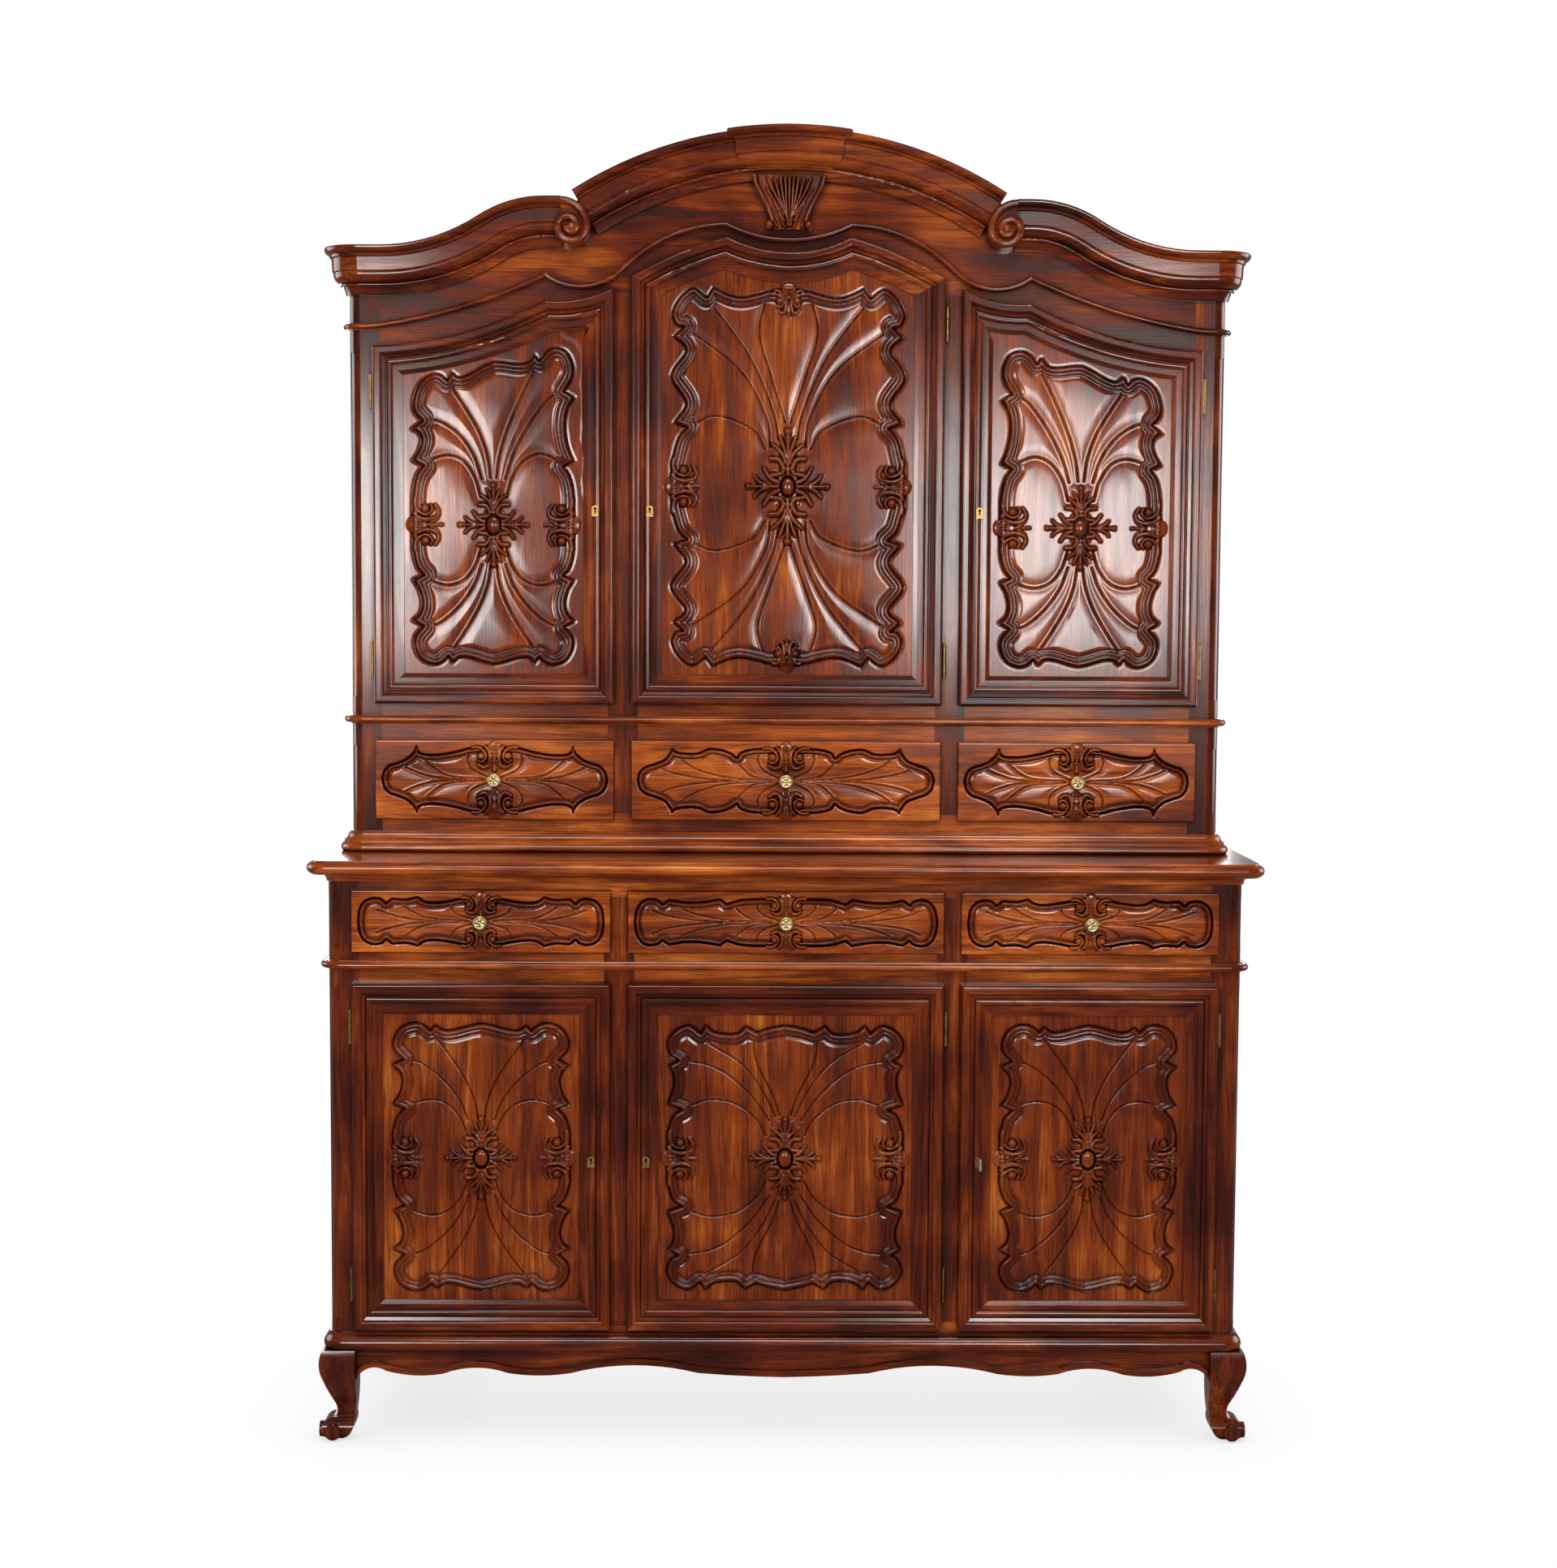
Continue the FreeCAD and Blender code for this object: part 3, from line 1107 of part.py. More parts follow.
def wing_path(drop):
    """Top edge of the right wing, from its level run inwards to the crest over the volute."""
    corner = (d.upper_half - d.corner_round, d.cornice_z - drop)
    run_end = (d.wing_run_half, d.cornice_z - drop)
    low_radius, high_radius = d.wing_low_radius + drop, d.wing_high_radius - drop
    low_centre = (d.wing_run_half, d.cornice_z + d.wing_low_radius)

    def low_point(angle):
        return (low_centre[0] - low_radius * math.sin(angle), low_centre[1] - low_radius * math.cos(angle))
    joint = low_point(wing_angle)
    away = d.wing_low_radius + d.wing_high_radius
    high_centre = (low_centre[0] - away * math.sin(wing_angle), low_centre[1] - away * math.cos(wing_angle))

    def high_point(angle):
        return (high_centre[0] + high_radius * math.sin(angle),
                high_centre[1] + high_radius * math.cos(angle))
    crest = high_point(0)
    return [(corner, run_end), (run_end, low_point(wing_angle / 2), joint),
            (joint, high_point(wing_angle / 2), crest)]


def arch_point(x, drop):
    radius = d.arch_radius - drop
    return (x, arch_centre[1] + math.sqrt(radius ** 2 - x ** 2))


def arch_edge(half, drop):
    """Top edge of the middle arch, right to left."""
    return (arch_point(half, drop), arch_point(0, drop), arch_point(-half, drop))


# Shares of the volute's radius: half the roll's thickness, the eye, and the middle and radius of each turn
roll_share = .2
eye_share = .3
coil_shares = [(.5625, 1.3425), (-.03, .75), (.22, .5), (0, .28)]
crest = wing_path(0)[-1][-1]
coil_top_share = coil_shares[0][1] + roll_share
volute_centre = (crest[0] - d.volute_lead, crest[1] - coil_top_share * d.volute_radius)


def coil_spot(x, z):
    return (volute_centre[0] + x * d.volute_radius, volute_centre[1] + z * d.volute_radius)


def coil_line(spread):
    """A line along the roll, or beside it: a quarter turn down the inner side, then three half turns."""
    (first_x, first_radius), *rest = coil_shares
    outer = first_radius + spread
    slant = outer * math.sqrt(1 / 2)
    edges = [(coil_spot(first_x, outer), coil_spot(first_x - slant, slant), coil_spot(first_x - outer, 0))]
    turn = -1
    for centre_x, radius in rest:
        reach = radius + spread
        edges.append((coil_spot(centre_x + turn * reach, 0), coil_spot(centre_x, turn * reach),
                      coil_spot(centre_x - turn * reach, 0)))
        turn = -turn
    return edges


def volute():
    """The rolled end of the right wing: a round roll coiled in on a ground, with a ball in its eye."""
    quarter, half_turn = coil_line(roll_share)[:2]
    start = quarter[0]
    disc_x, disc_radius = coil_shares[1][0], coil_shares[1][1] + roll_share
    rise = math.acos((coil_shares[0][0] - disc_x) / disc_radius)
    climb = [coil_spot(disc_x + disc_radius * math.cos(angle), disc_radius * math.sin(angle))
             for angle in (0, rise / 2, rise)]
    roll_radius = roll_share * d.volute_radius
    roll_y = d.upper_face - d.cornice_proud + roll_radius
    ground = front_slab([quarter, half_turn, tuple(climb), (climb[-1], start)], d.upper_face, roll_y)
    rolls = []
    for edge in coil_line(0):
        ahead = tangent(edge, False)
        ring = Part.Circle(Vector(edge[0][0], roll_y, edge[0][1]), Vector(ahead.x, 0, ahead.y), roll_radius)
        centre, sweep = arc_sweep(edge)
        face = Part.Face(Part.Wire(ring.toShape()))
        rolls.append(face.revolve(Vector(centre[0], 0, centre[1]), Vector(0, 1, 0), -math.degrees(sweep)))
    eye = Part.makeSphere(eye_share * d.volute_radius, Vector(volute_centre[0], roll_y, volute_centre[1]))
    return [ground, *rolls, eye]


def cornice_wing(side):
    path = wing_path(0) + [(crest, coil_line(roll_share)[0][0])]
    front = moulded(path, cornice_shares, d.cornice_height, d.cornice_proud, d.upper_face, False)
    pieces = front + volute()
    wing = pieces[0].fuse(pieces[1:]).removeSplitter()
    return wing if side > 0 else wing.mirror(Vector(0, 0, 0), Vector(1, 0, 0))


def keystone():
    """The cornice brought forward over the crown of the arch, its two ends mitred back to the frieze."""
    proud = d.cornice_proud + d.keystone_proud
    spare = d.keystone_half + proud + 2 * d.overrun
    face = profile_face(cornice_shares, d.cornice_height, proud,
                        lambda u, v: Vector(0, d.upper_face - v, arch_top + d.keystone_lift - u))
    pivot = Vector(arch_centre[0], 0, arch_centre[1])
    turn = math.degrees(math.asin(spare / d.arch_radius))
    face.rotate(pivot, Vector(0, 1, 0), -turn)
    run = face.revolve(pivot, Vector(0, 1, 0), 2 * turn)
    low = arch_top - 2 * d.cornice_height
    near, far = d.keystone_half - d.overrun, d.keystone_half + proud + d.overrun
    near_y, far_y = d.upper_face + d.overrun, d.upper_face - proud - d.overrun
    corners = [(-near, near_y), (-far, far_y), (far, far_y), (near, near_y)]
    wire = Part.makePolygon([Vector(x, y, low) for x, y in corners + corners[:1]])
    mitres = Part.Face(wire).extrude(Vector(0, 0, arch_top + 2 * d.keystone_lift - low))
    return run.common(mitres)


wings = [cornice_wing(each_side) for side_name, each_side in SIDES]
key_block = keystone()
arch = moulded([arch_edge(volute_centre[0], 0)], cornice_shares, d.cornice_height, d.cornice_proud,
               d.upper_face, False)
returns = [end_return(each_side, cornice_shares, d.cornice_height, d.cornice_proud, d.upper_half,
                      d.upper_face, d.cornice_z) for side_name, each_side in SIDES]
label(formed(Part.makeCompound(wings + returns)), "cornice_wings")
arch_run = arch[0].cut(wings + [key_block])
label(formed(arch_run), "cornice_arch")
label(formed(key_block), "keystone")

corbel_shares = [(0, 0), (0, 1), (.2, 1.02, .45, .7), (.75, .3, .9, .55), (1, .5, 1, .3), (1, 0)]
corbel_waist_share = .45
corbel_top = arch_top + d.keystone_lift - d.cornice_height


def corbel_outline(inset):
    """S-curved sides drawn in from a wide head to a narrow foot, anticlockwise from the lower left."""
    top, foot = corbel_top + d.overrun, corbel_top - d.corbel_height + d.corbel_scroll_radius
    head_half, foot_half = d.corbel_half - inset, d.corbel_foot_half - inset
    waist_z = corbel_top - corbel_waist_share * d.corbel_height
    middle = ((head_half + foot_half) / 2, waist_z)
    shoulder = bulged(middle, (head_half, top), -d.corbel_sink)
    ankle = bulged((foot_half, foot), middle, d.corbel_sink)
    return [((-foot_half, foot), (foot_half, foot)), ankle, shoulder, ((head_half, top), (-head_half, top)),
            *mirrored([ankle, shoulder])]


def corbel():
    """A bracket with a swept front, raised scrolled sides and a sunk ground for its leaf."""
    side_face = profile_face(corbel_shares, d.corbel_height, d.corbel_proud,
                             lambda u, v: Vector(-2 * d.corbel_half, d.upper_face - v, corbel_top - u))
    swept = side_face.extrude(Vector(4 * d.corbel_half, 0, 0))
    ground = swept.translated(Vector(0, d.corbel_sink, 0))
    front = d.upper_face - 2 * d.corbel_proud
    rim = front_slab(corbel_outline(0), d.upper_face, front)
    field = front_slab(corbel_outline(d.corbel_rim), d.upper_face, front)
    body = swept.common(rim.cut(field)).fuse(ground.common(field).common(rim))
    foot_z = corbel_top - d.corbel_height + d.corbel_scroll_radius
    curl_share = 2 / 3
    curls = [pillar(side * d.corbel_foot_half, foot_z, d.corbel_scroll_radius, d.upper_face,
                    curl_share * d.corbel_proud) for name, side in SIDES]
    return body.fuse(curls).removeSplitter()


label(formed(corbel().cut([key_block, arch_run])), "corbel")


def frieze_outline():
    """The head board between the posts: arched over the three doors, and following the cornice above."""
    low = side_head(d.upper_open_out, d.side_open_in, d.door_overlap)
    low_end = low[-1][-1]
    centre = centre_head(d.centre_open_half, d.door_overlap)
    step = (d.centre_open_half, low_end[1])
    low += [(low_end, step), (step, centre[0][0])]
    high = wing_path(d.frieze_cap)
    corner = (d.upper_open_out, high[0][0][1])
    shoulder = arch_point(volute_centre[0], d.frieze_cap)
    right_high = [(corner, high[0][1]), *high[1:], (high[-1][-1], shoulder)]
    top = right_high + [arch_edge(volute_centre[0], d.frieze_cap)] + mirrored(right_high)
    bottom = low + centre + mirrored(low)
    return top + [(top[-1][-1], bottom[-1][-1]), *reverse(bottom), (bottom[0][0], top[0][0])]


label(formed(front_slab(frieze_outline(), d.upper_inside, d.upper_face)), "frieze_board")

bead_dip_share = .36


def frieze_bead():
    """The moulding over the door heads, with cusps above theirs, carried round the ends."""
    end_z = d.upper_corner_z + d.door_overlap + d.bead_end_gap
    corner = (d.upper_half - d.corner_round, end_z)
    head = side_head(d.upper_open_out + d.door_overlap, d.side_open_in - d.door_overlap, 0)
    side_cusp = (head[0][-1][0], head[0][-1][1] + d.side_bead_gap)
    centre_cusp = (d.centre_cusp_half, d.centre_cusp_z + d.door_overlap + d.centre_bead_gap - d.bead_height)
    swung_edge = d.centre_open_half + d.door_overlap + d.door_thick
    swung_top = d.upper_corner_z + d.door_overlap + d.centre_corner_rise + d.bead_height + d.bead_swing_gap
    low_x = side_cusp[0] + bead_dip_share * (swung_edge - side_cusp[0])
    wave = [(low_x, side_cusp[1] - d.bead_dip), (swung_edge, swung_top)]
    kick_end = (corner[0] - d.bead_kick, end_z + d.bead_kick_rise)
    kick = tangent_arc(corner, Vector(-1, 0, 0), kick_end)
    sweep = tangent_arc(kick_end, tangent(kick, True), side_cusp)
    dip = (side_cusp, *wave)
    half = [kick, sweep, dip, tangent_arc(wave[-1], tangent(dip, True), centre_cusp)]
    path = half + [bulged(centre_cusp, (-centre_cusp[0], centre_cusp[1]), -d.centre_sag)] + mirrored(half)
    pieces = moulded(path, waist_shares, d.bead_height, d.bead_proud, d.upper_face, False)
    for name, side in SIDES:
        pieces.append(end_return(side, waist_shares, d.bead_height, d.bead_proud, d.upper_half,
                                 d.upper_face, end_z))
    return Part.makeCompound(pieces)


label(formed(frieze_bead()), "frieze_moulding")

# Checks and files

doc.recompute()
for item in doc.Objects:
    failed = {"Invalid", "Error"} & set(item.State)
    if failed:
        raise RuntimeError(f"{item.Name} ({item.Label}): {item.State}")
for item in nodes:
    if item.Shape.isNull() or not item.Shape.isValid() or not item.Shape.Solids:
        raise RuntimeError(f"{item.Label} has no sound shape")
for item in nodes:
    item.Shape.exportStep(f"parts/{item.Label}.step")
print(len(nodes), "sub-parts,", sum(len(item.Shape.Solids) for item in nodes), "solids")
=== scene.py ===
import math

import bpy
import numpy as np
from mathutils import Matrix, Vector


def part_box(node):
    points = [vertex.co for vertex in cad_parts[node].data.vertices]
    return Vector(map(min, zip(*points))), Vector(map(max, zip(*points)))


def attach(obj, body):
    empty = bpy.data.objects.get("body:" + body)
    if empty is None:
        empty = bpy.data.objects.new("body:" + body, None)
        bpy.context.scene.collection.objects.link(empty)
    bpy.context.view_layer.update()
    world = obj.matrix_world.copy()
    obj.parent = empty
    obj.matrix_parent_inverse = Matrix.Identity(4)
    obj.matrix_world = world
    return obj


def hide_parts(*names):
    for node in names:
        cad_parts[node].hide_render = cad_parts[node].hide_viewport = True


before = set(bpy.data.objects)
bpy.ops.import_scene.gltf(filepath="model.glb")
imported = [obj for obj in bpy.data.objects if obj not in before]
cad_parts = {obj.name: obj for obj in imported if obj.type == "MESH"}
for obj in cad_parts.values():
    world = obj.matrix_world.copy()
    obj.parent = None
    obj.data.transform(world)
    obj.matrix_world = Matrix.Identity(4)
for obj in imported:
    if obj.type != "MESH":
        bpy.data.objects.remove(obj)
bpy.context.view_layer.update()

# Two-part cupboard dressed for its picture: polished walnut, carved door panels and drawer fronts, brass.
# Metres, in the frame of the solids: +Z is up and the front faces -Y.

MM = 0.001
TIERS = ("lower", "upper")
BAYS = {"left": -1, "centre": 0, "right": 1}

# Materials


def node_tree(name):
    """A new material with its node tree and its principled shader."""
    material = bpy.data.materials.new(name)
    material.use_nodes = True
    tree = material.node_tree
    return material, tree, tree.nodes["Principled BSDF"]


def add(tree, kind, inputs=None, **settings):
    """A node with its settings; inputs that are sockets are linked, others are set."""
    node = tree.nodes.new(kind)
    for key, value in settings.items():
        setattr(node, key, value)
    for key, value in (inputs or {}).items():
        if isinstance(value, bpy.types.NodeSocket):
            tree.links.new(value, node.inputs[key])
        else:
            node.inputs[key].default_value = value
    return node


def ramp(tree, factor, stops):
    """A colour ramp over the factor, with stops of place and colour."""
    node = add(tree, "ShaderNodeValToRGB", {"Fac": factor})
    elements = node.color_ramp.elements
    while len(elements) < len(stops):
        elements.new(1)
    for element, (place, colour) in zip(elements, stops):
        element.position = place
        element.color = (*colour, 1)
    return node.outputs["Color"]


def grey(value):
    """A colour without hue."""
    return (value, value, value)


def mixed(tree, kind, factor, first, second):
    """Two colours mixed by a factor."""
    node = add(tree, "ShaderNodeMix", data_type="RGBA", blend_type=kind)
    for place, value in ((0, factor), (6, first), (7, second)):
        if isinstance(value, bpy.types.NodeSocket):
            tree.links.new(value, node.inputs[place])
        else:
            node.inputs[place].default_value = value if place == 0 else (*value, 1)
    return node.outputs[2]


def maths(tree, operation, first, second=0.0):
    """The result of one sum on sockets or values."""
    node = add(tree, "ShaderNodeMath", {0: first, 1: second}, operation=operation)
    return node.outputs[0]


GRAIN_TURNS = {"x": (0, math.pi / 2, 0), "z": (0, 0, 0)}
RED_WALNUT = [(.36, (.018, .0016, .0004)), (.46, (.053, .0056, .0009)), (.55, (.120, .0165, .0018)),
              (.66, (.26, .055, .0070))]
GOLD_WALNUT = [(.36, (.040, .0043, .0006)), (.46, (.098, .0130, .0014)), (.55, (.182, .0300, .0028)),
               (.66, (.35, .090, .0110))]
# The gold walnut made about 1.6 times lighter: partly the lighter tone of the counter, rails and drawer fronts,
# partly painted light that brightens the drawer fronts where the lamps leave them dim
AMBER_WALNUT_WITH_PAINTED_LIGHT = [(.36, (.066, .0076, .0010)), (.46, (.160, .0255, .0027)), (.55, (.320, .0640, .0064)),
                (.66, (.54, .160, .0240))]
PATINA = (.54, .42, .37)
SATIN = .3
PALE = [(.22, (.10, .040, .015)), (.45, (.18, .080, .030)), (.62, (.24, .115, .047)), (.8, (.30, .155, .068))]
# Reach and samples of the painted shade in recesses, for plain wood, carved wood and brass
PAINTED_SHADE_REACH = 20 * MM
CARVED_PAINTED_SHADE_REACH = 7 * MM
BRASS_OXIDE_AND_SHADE_REACH = 6 * MM
PAINTED_SHADE_SAMPLES = 6
BOARD_WIDTH = 190 * MM
PORE_DEPTH = .5 * MM
FIGURE_SHARE = .58
DULL_STREAK = .05
BRIGHT_STREAK = .04


def boarded(tree, place):
    """Upright boards side by side: the place in the figure of each board, and its tone with its dark joints."""
    along = maths(tree, "DIVIDE", add(tree, "ShaderNodeSeparateXYZ", {0: place}).outputs["X"], BOARD_WIDTH)
    number = maths(tree, "FLOOR", along)
    shift = add(tree, "ShaderNodeCombineXYZ", {axis: number for axis in "XYZ"}).outputs["Vector"]
    moved = add(tree, "ShaderNodeVectorMath", {0: place, 1: shift}, operation="ADD").outputs["Vector"]
    tone = add(tree, "ShaderNodeTexWhiteNoise", {"W": number}, noise_dimensions="1D").outputs["Value"]
    from_joint = maths(tree, "ABSOLUTE", maths(tree, "SUBTRACT", maths(tree, "FRACT", along), .5))
    joint = ramp(tree, from_joint, [(.485, grey(1)), (.497, grey(.08))])
    return moved, mixed(tree, "MULTIPLY", 1, ramp(tree, tone, [(0, grey(.7)), (1, grey(1.1))]), joint)


def wood(name, grain, colours, seed, carved=False, gloss=.16, in_boards=False):
    """Wood with streaked figure and pores along its grain, with painted shade in its recesses, under a satin
    polish.
    """
    material, tree, shader = node_tree(name)
    place = add(tree, "ShaderNodeTexCoord").outputs["Object"]
    if in_boards:
        place, tone = boarded(tree, place)
    turned = add(tree, "ShaderNodeMapping", {"Vector": place, "Location": (seed, seed / 2, seed / 3),
                                             "Rotation": GRAIN_TURNS[grain]}).outputs["Vector"]
    streaks = add(tree, "ShaderNodeMapping", {"Vector": turned, "Scale": (1, 1, .09)}).outputs["Vector"]
    figure = add(tree, "ShaderNodeTexNoise", {"Vector": streaks, "Scale": 26, "Detail": 7, "Roughness": .62,
                                              "Distortion": 1.3}).outputs["Fac"]
    cloud = add(tree, "ShaderNodeTexNoise", {"Vector": turned, "Scale": 5, "Detail": 6}).outputs["Fac"]
    blend = maths(tree, "ADD", maths(tree, "MULTIPLY", figure, FIGURE_SHARE),
                  maths(tree, "MULTIPLY", cloud, 1 - FIGURE_SHARE))
    colour = ramp(tree, blend, colours)
    thin = add(tree, "ShaderNodeMapping", {"Vector": turned, "Scale": (1, 1, .03)}).outputs["Vector"]
    pores = add(tree, "ShaderNodeTexNoise", {"Vector": thin, "Scale": 420, "Detail": 2}).outputs["Fac"]
    pore_shade = ramp(tree, pores, [(.36, grey(.55)), (.5, grey(1))])
    colour = mixed(tree, "MULTIPLY", 1, colour, pore_shade)
    if in_boards:
        colour = mixed(tree, "MULTIPLY", 1, colour, tone)
    reach = CARVED_PAINTED_SHADE_REACH if carved else PAINTED_SHADE_REACH
    # Painted shade: the colour darkens in recesses and between parts, where nearby surfaces hem it in, and the
    # polish's shine is dimmed there too
    near = add(tree, "ShaderNodeAmbientOcclusion", {"Distance": reach}, samples=PAINTED_SHADE_SAMPLES).outputs["AO"]
    painted_shade = ramp(tree, near, [(.25, grey(.06)), (.8, grey(1))])
    colour = mixed(tree, "MULTIPLY", 1, colour, painted_shade)
    shine = painted_shade
    if carved:
        # Painted shade in the carving's hollows, from the values set on the board: it darkens the colour and
        # dims the shine
        cavity_shade = add(tree, "ShaderNodeAttribute", attribute_name="cavity_shade").outputs["Fac"]
        sunk_shade = ramp(tree, cavity_shade, [(.06, grey(1)), (.8, grey(.05))])
        colour = mixed(tree, "MULTIPLY", 1, colour, sunk_shade)
        shine = mixed(tree, "MULTIPLY", 1, painted_shade, sunk_shade)
        handled = add(tree, "ShaderNodeAttribute", attribute_name="patina").outputs["Fac"]
        colour = mixed(tree, "MULTIPLY", 1, colour, ramp(tree, handled, [(0, grey(1)), (1, PATINA)]))
    tree.links.new(colour, shader.inputs["Base Color"])
    tree.links.new(maths(tree, "MULTIPLY", shine, SATIN), shader.inputs["Specular IOR Level"])
    limits = {"From Min": .3, "From Max": .7, "To Min": gloss + DULL_STREAK, "To Max": gloss - BRIGHT_STREAK}
    rough = add(tree, "ShaderNodeMapRange", {"Value": figure, **limits}).outputs["Result"]
    tree.links.new(rough, shader.inputs["Roughness"])
    bump = add(tree, "ShaderNodeBump", {"Height": pores, "Strength": .1, "Distance": PORE_DEPTH})
    tree.links.new(bump.outputs["Normal"], shader.inputs["Normal"])
    return material


def brass(name, dull, bright):
    """Old brass in dull and bright patches, darkened in its hollows by brown oxide and painted shade."""
    material, tree, shader = node_tree(name)
    place = add(tree, "ShaderNodeTexCoord").outputs["Object"]
    patches = add(tree, "ShaderNodeTexNoise", {"Vector": place, "Scale": 160, "Detail": 4}).outputs["Fac"]
    colour = ramp(tree, patches, [(.3, dull), (.7, bright)])
    # Brown oxide and painted shade: the colour darkens where nearby surfaces hem the brass in
    near = add(tree, "ShaderNodeAmbientOcclusion", {"Distance": BRASS_OXIDE_AND_SHADE_REACH},
               samples=PAINTED_SHADE_SAMPLES).outputs["AO"]
    colour = mixed(tree, "MULTIPLY", 1, colour, ramp(tree, near, [(.3, grey(.12)), (.85, grey(1))]))
    tree.links.new(colour, shader.inputs["Base Color"])
    rough = add(tree, "ShaderNodeMapRange", {"Value": patches, "To Min": .3, "To Max": .5}).outputs["Result"]
    tree.links.new(rough, shader.inputs["Roughness"])
    shader.inputs["Metallic"].default_value = 1
    return material


walnut_up = wood("walnut_upright", "z", RED_WALNUT, seed=1.3)
walnut_across = wood("walnut_across", "x", RED_WALNUT, seed=4.1)
walnut_counter = wood("walnut_counter", "x", AMBER_WALNUT_WITH_PAINTED_LIGHT, seed=7.7)
walnut_rail = wood("walnut_rail", "x", AMBER_WALNUT_WITH_PAINTED_LIGHT, seed=8.9)
walnut_carved_up = wood("walnut_carved_upright", "z", GOLD_WALNUT, seed=2.9, carved=True)
walnut_carved_across = wood("walnut_carved_across", "x", AMBER_WALNUT_WITH_PAINTED_LIGHT, seed=5.3, carved=True)
walnut_leaf = wood("walnut_leaf", "z", RED_WALNUT, seed=6.1, carved=True, gloss=.18)
pale_wood = wood("inner_wood", "x", PALE, seed=3.7, gloss=.5)
back_boards = wood("back_boards", "z", PALE, seed=9.3, gloss=.5, in_boards=True)
brass_finish = brass("old_brass", (.24, .165, .065), (.56, .43, .22))
hinge_finish = brass("hinge_brass", (.16, .085, .025), (.36, .22, .08))

ACROSS = ("plinth_moulding", "apron", "frieze_board", "frieze_moulding", "cornice_arch", "cornice_wings",
          "keystone")
COUNTER = ("counter_top", "lower_mouldings", "upper_mouldings")
HEAD_STEP = 6 * MM


def upper_edge(mesh):
    """The upper edge of a mesh as a function of x."""
    points = np.array([vertex.co[:] for vertex in mesh.vertices])
    order = np.argsort(points[:, 0])
    columns = np.arange(points[:, 0].min(), points[:, 0].max() + HEAD_STEP, HEAD_STEP)
    chosen = np.digitize(points[order, 0], columns) - 1
    heads = {}
    for column, height in zip(chosen.tolist(), points[order, 2].tolist()):
        heads[column] = max(heads.get(column, height), height)
    places = [columns[column] for column in sorted(heads)]
    return lambda x: np.interp(x, places, [heads[column] for column in sorted(heads)])


def mitred_grain(node_name, node):
    """Grain along each member of a door frame: its rails lie across, its stiles stand upright."""
    low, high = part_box(node_name)
    head = upper_edge(node.data)
    for face in node.data.polygons:
        x, z = face.center.x, face.center.z
        from_side = min(x - low[0], high[0] - x)
        from_end = min(z - low[2], float(head(x)) - z)
        face.material_index = 1 if from_end < from_side else 0


LAP = 12 * MM


def railed_grain(tier, node):
    """Grain along each member of a face frame: its rails lie across between its posts and mullions."""
    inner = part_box(f"{tier}_centre_door_frame")[1][0] - LAP
    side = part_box(f"{tier}_right_door_frame")
    for face in node.data.polygons:
        x = abs(face.center.x)
        is_upright = inner < x < side[0][0] + LAP or x > side[1][0] - LAP
        face.material_index = 0 if is_upright else 1


for node_name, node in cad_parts.items():
    finishes = [walnut_up]
    if node_name in ACROSS:
        finishes = [walnut_across]
    if node_name in COUNTER or node_name.endswith("_drawer_front"):
        finishes = [walnut_counter]
    if node_name.endswith(("_fittings", "_bolt", "_halves")):
        finishes = [hinge_finish]
    if node_name.endswith(("_knob", "_key")):
        finishes = [brass_finish]
    if node_name.endswith(("_box", "_inner_boards")):
        finishes = [pale_wood]
    if node_name.endswith("_back"):
        finishes = [back_boards]
    if node_name.endswith("_door_frame"):
        finishes = [walnut_up, walnut_across]
    if node_name.endswith("_face_frame"):
        finishes = [walnut_up, walnut_rail]
    node.data.materials.clear()
    for finish in finishes:
        node.data.materials.append(finish)
    if node_name.endswith("_door_frame"):
        mitred_grain(node_name, node)
    if node_name.endswith("_face_frame"):
        railed_grain(node_name.split("_")[0], node)

# Curves of the carving


def through(points, step):
    """Points about one step apart on a smooth curve through the given ones."""
    spots = np.array(points, float)
    if len(spots) == 1:
        return spots
    if len(spots) == 2:
        count = max(2, int(np.linalg.norm(spots[1] - spots[0]) / step) + 1)
        return spots[0] + (spots[1] - spots[0]) * np.linspace(0, 1, count)[:, None]
    before = np.vstack([2 * spots[0] - spots[1], spots, 2 * spots[-1] - spots[-2]])
    pieces = []
    for a, b, c, e in zip(before, before[1:], before[2:], before[3:]):
        count = max(2, int(np.linalg.norm(c - b) / step) + 1)
        t = np.linspace(0, 1, count, endpoint=False)[:, None]
        pieces.append(.5 * (2 * b + (c - a) * t + (2 * a - 5 * b + 4 * c - e) * t ** 2
                            + (3 * b - a - 3 * c + e) * t ** 3))
    return np.vstack(pieces + [spots[-1:]])


FAR = 9


def shifted(field, rows, columns):
    """The field moved by whole rows and columns, far away where nothing comes in."""
    moved = np.full(field.shape, float(FAR))
    tall, wide = field.shape
    moved[max(rows, 0):tall + min(rows, 0), max(columns, 0):wide + min(columns, 0)] = \
        field[max(-rows, 0):tall + min(-rows, 0), max(-columns, 0):wide + min(-columns, 0)]
    return moved


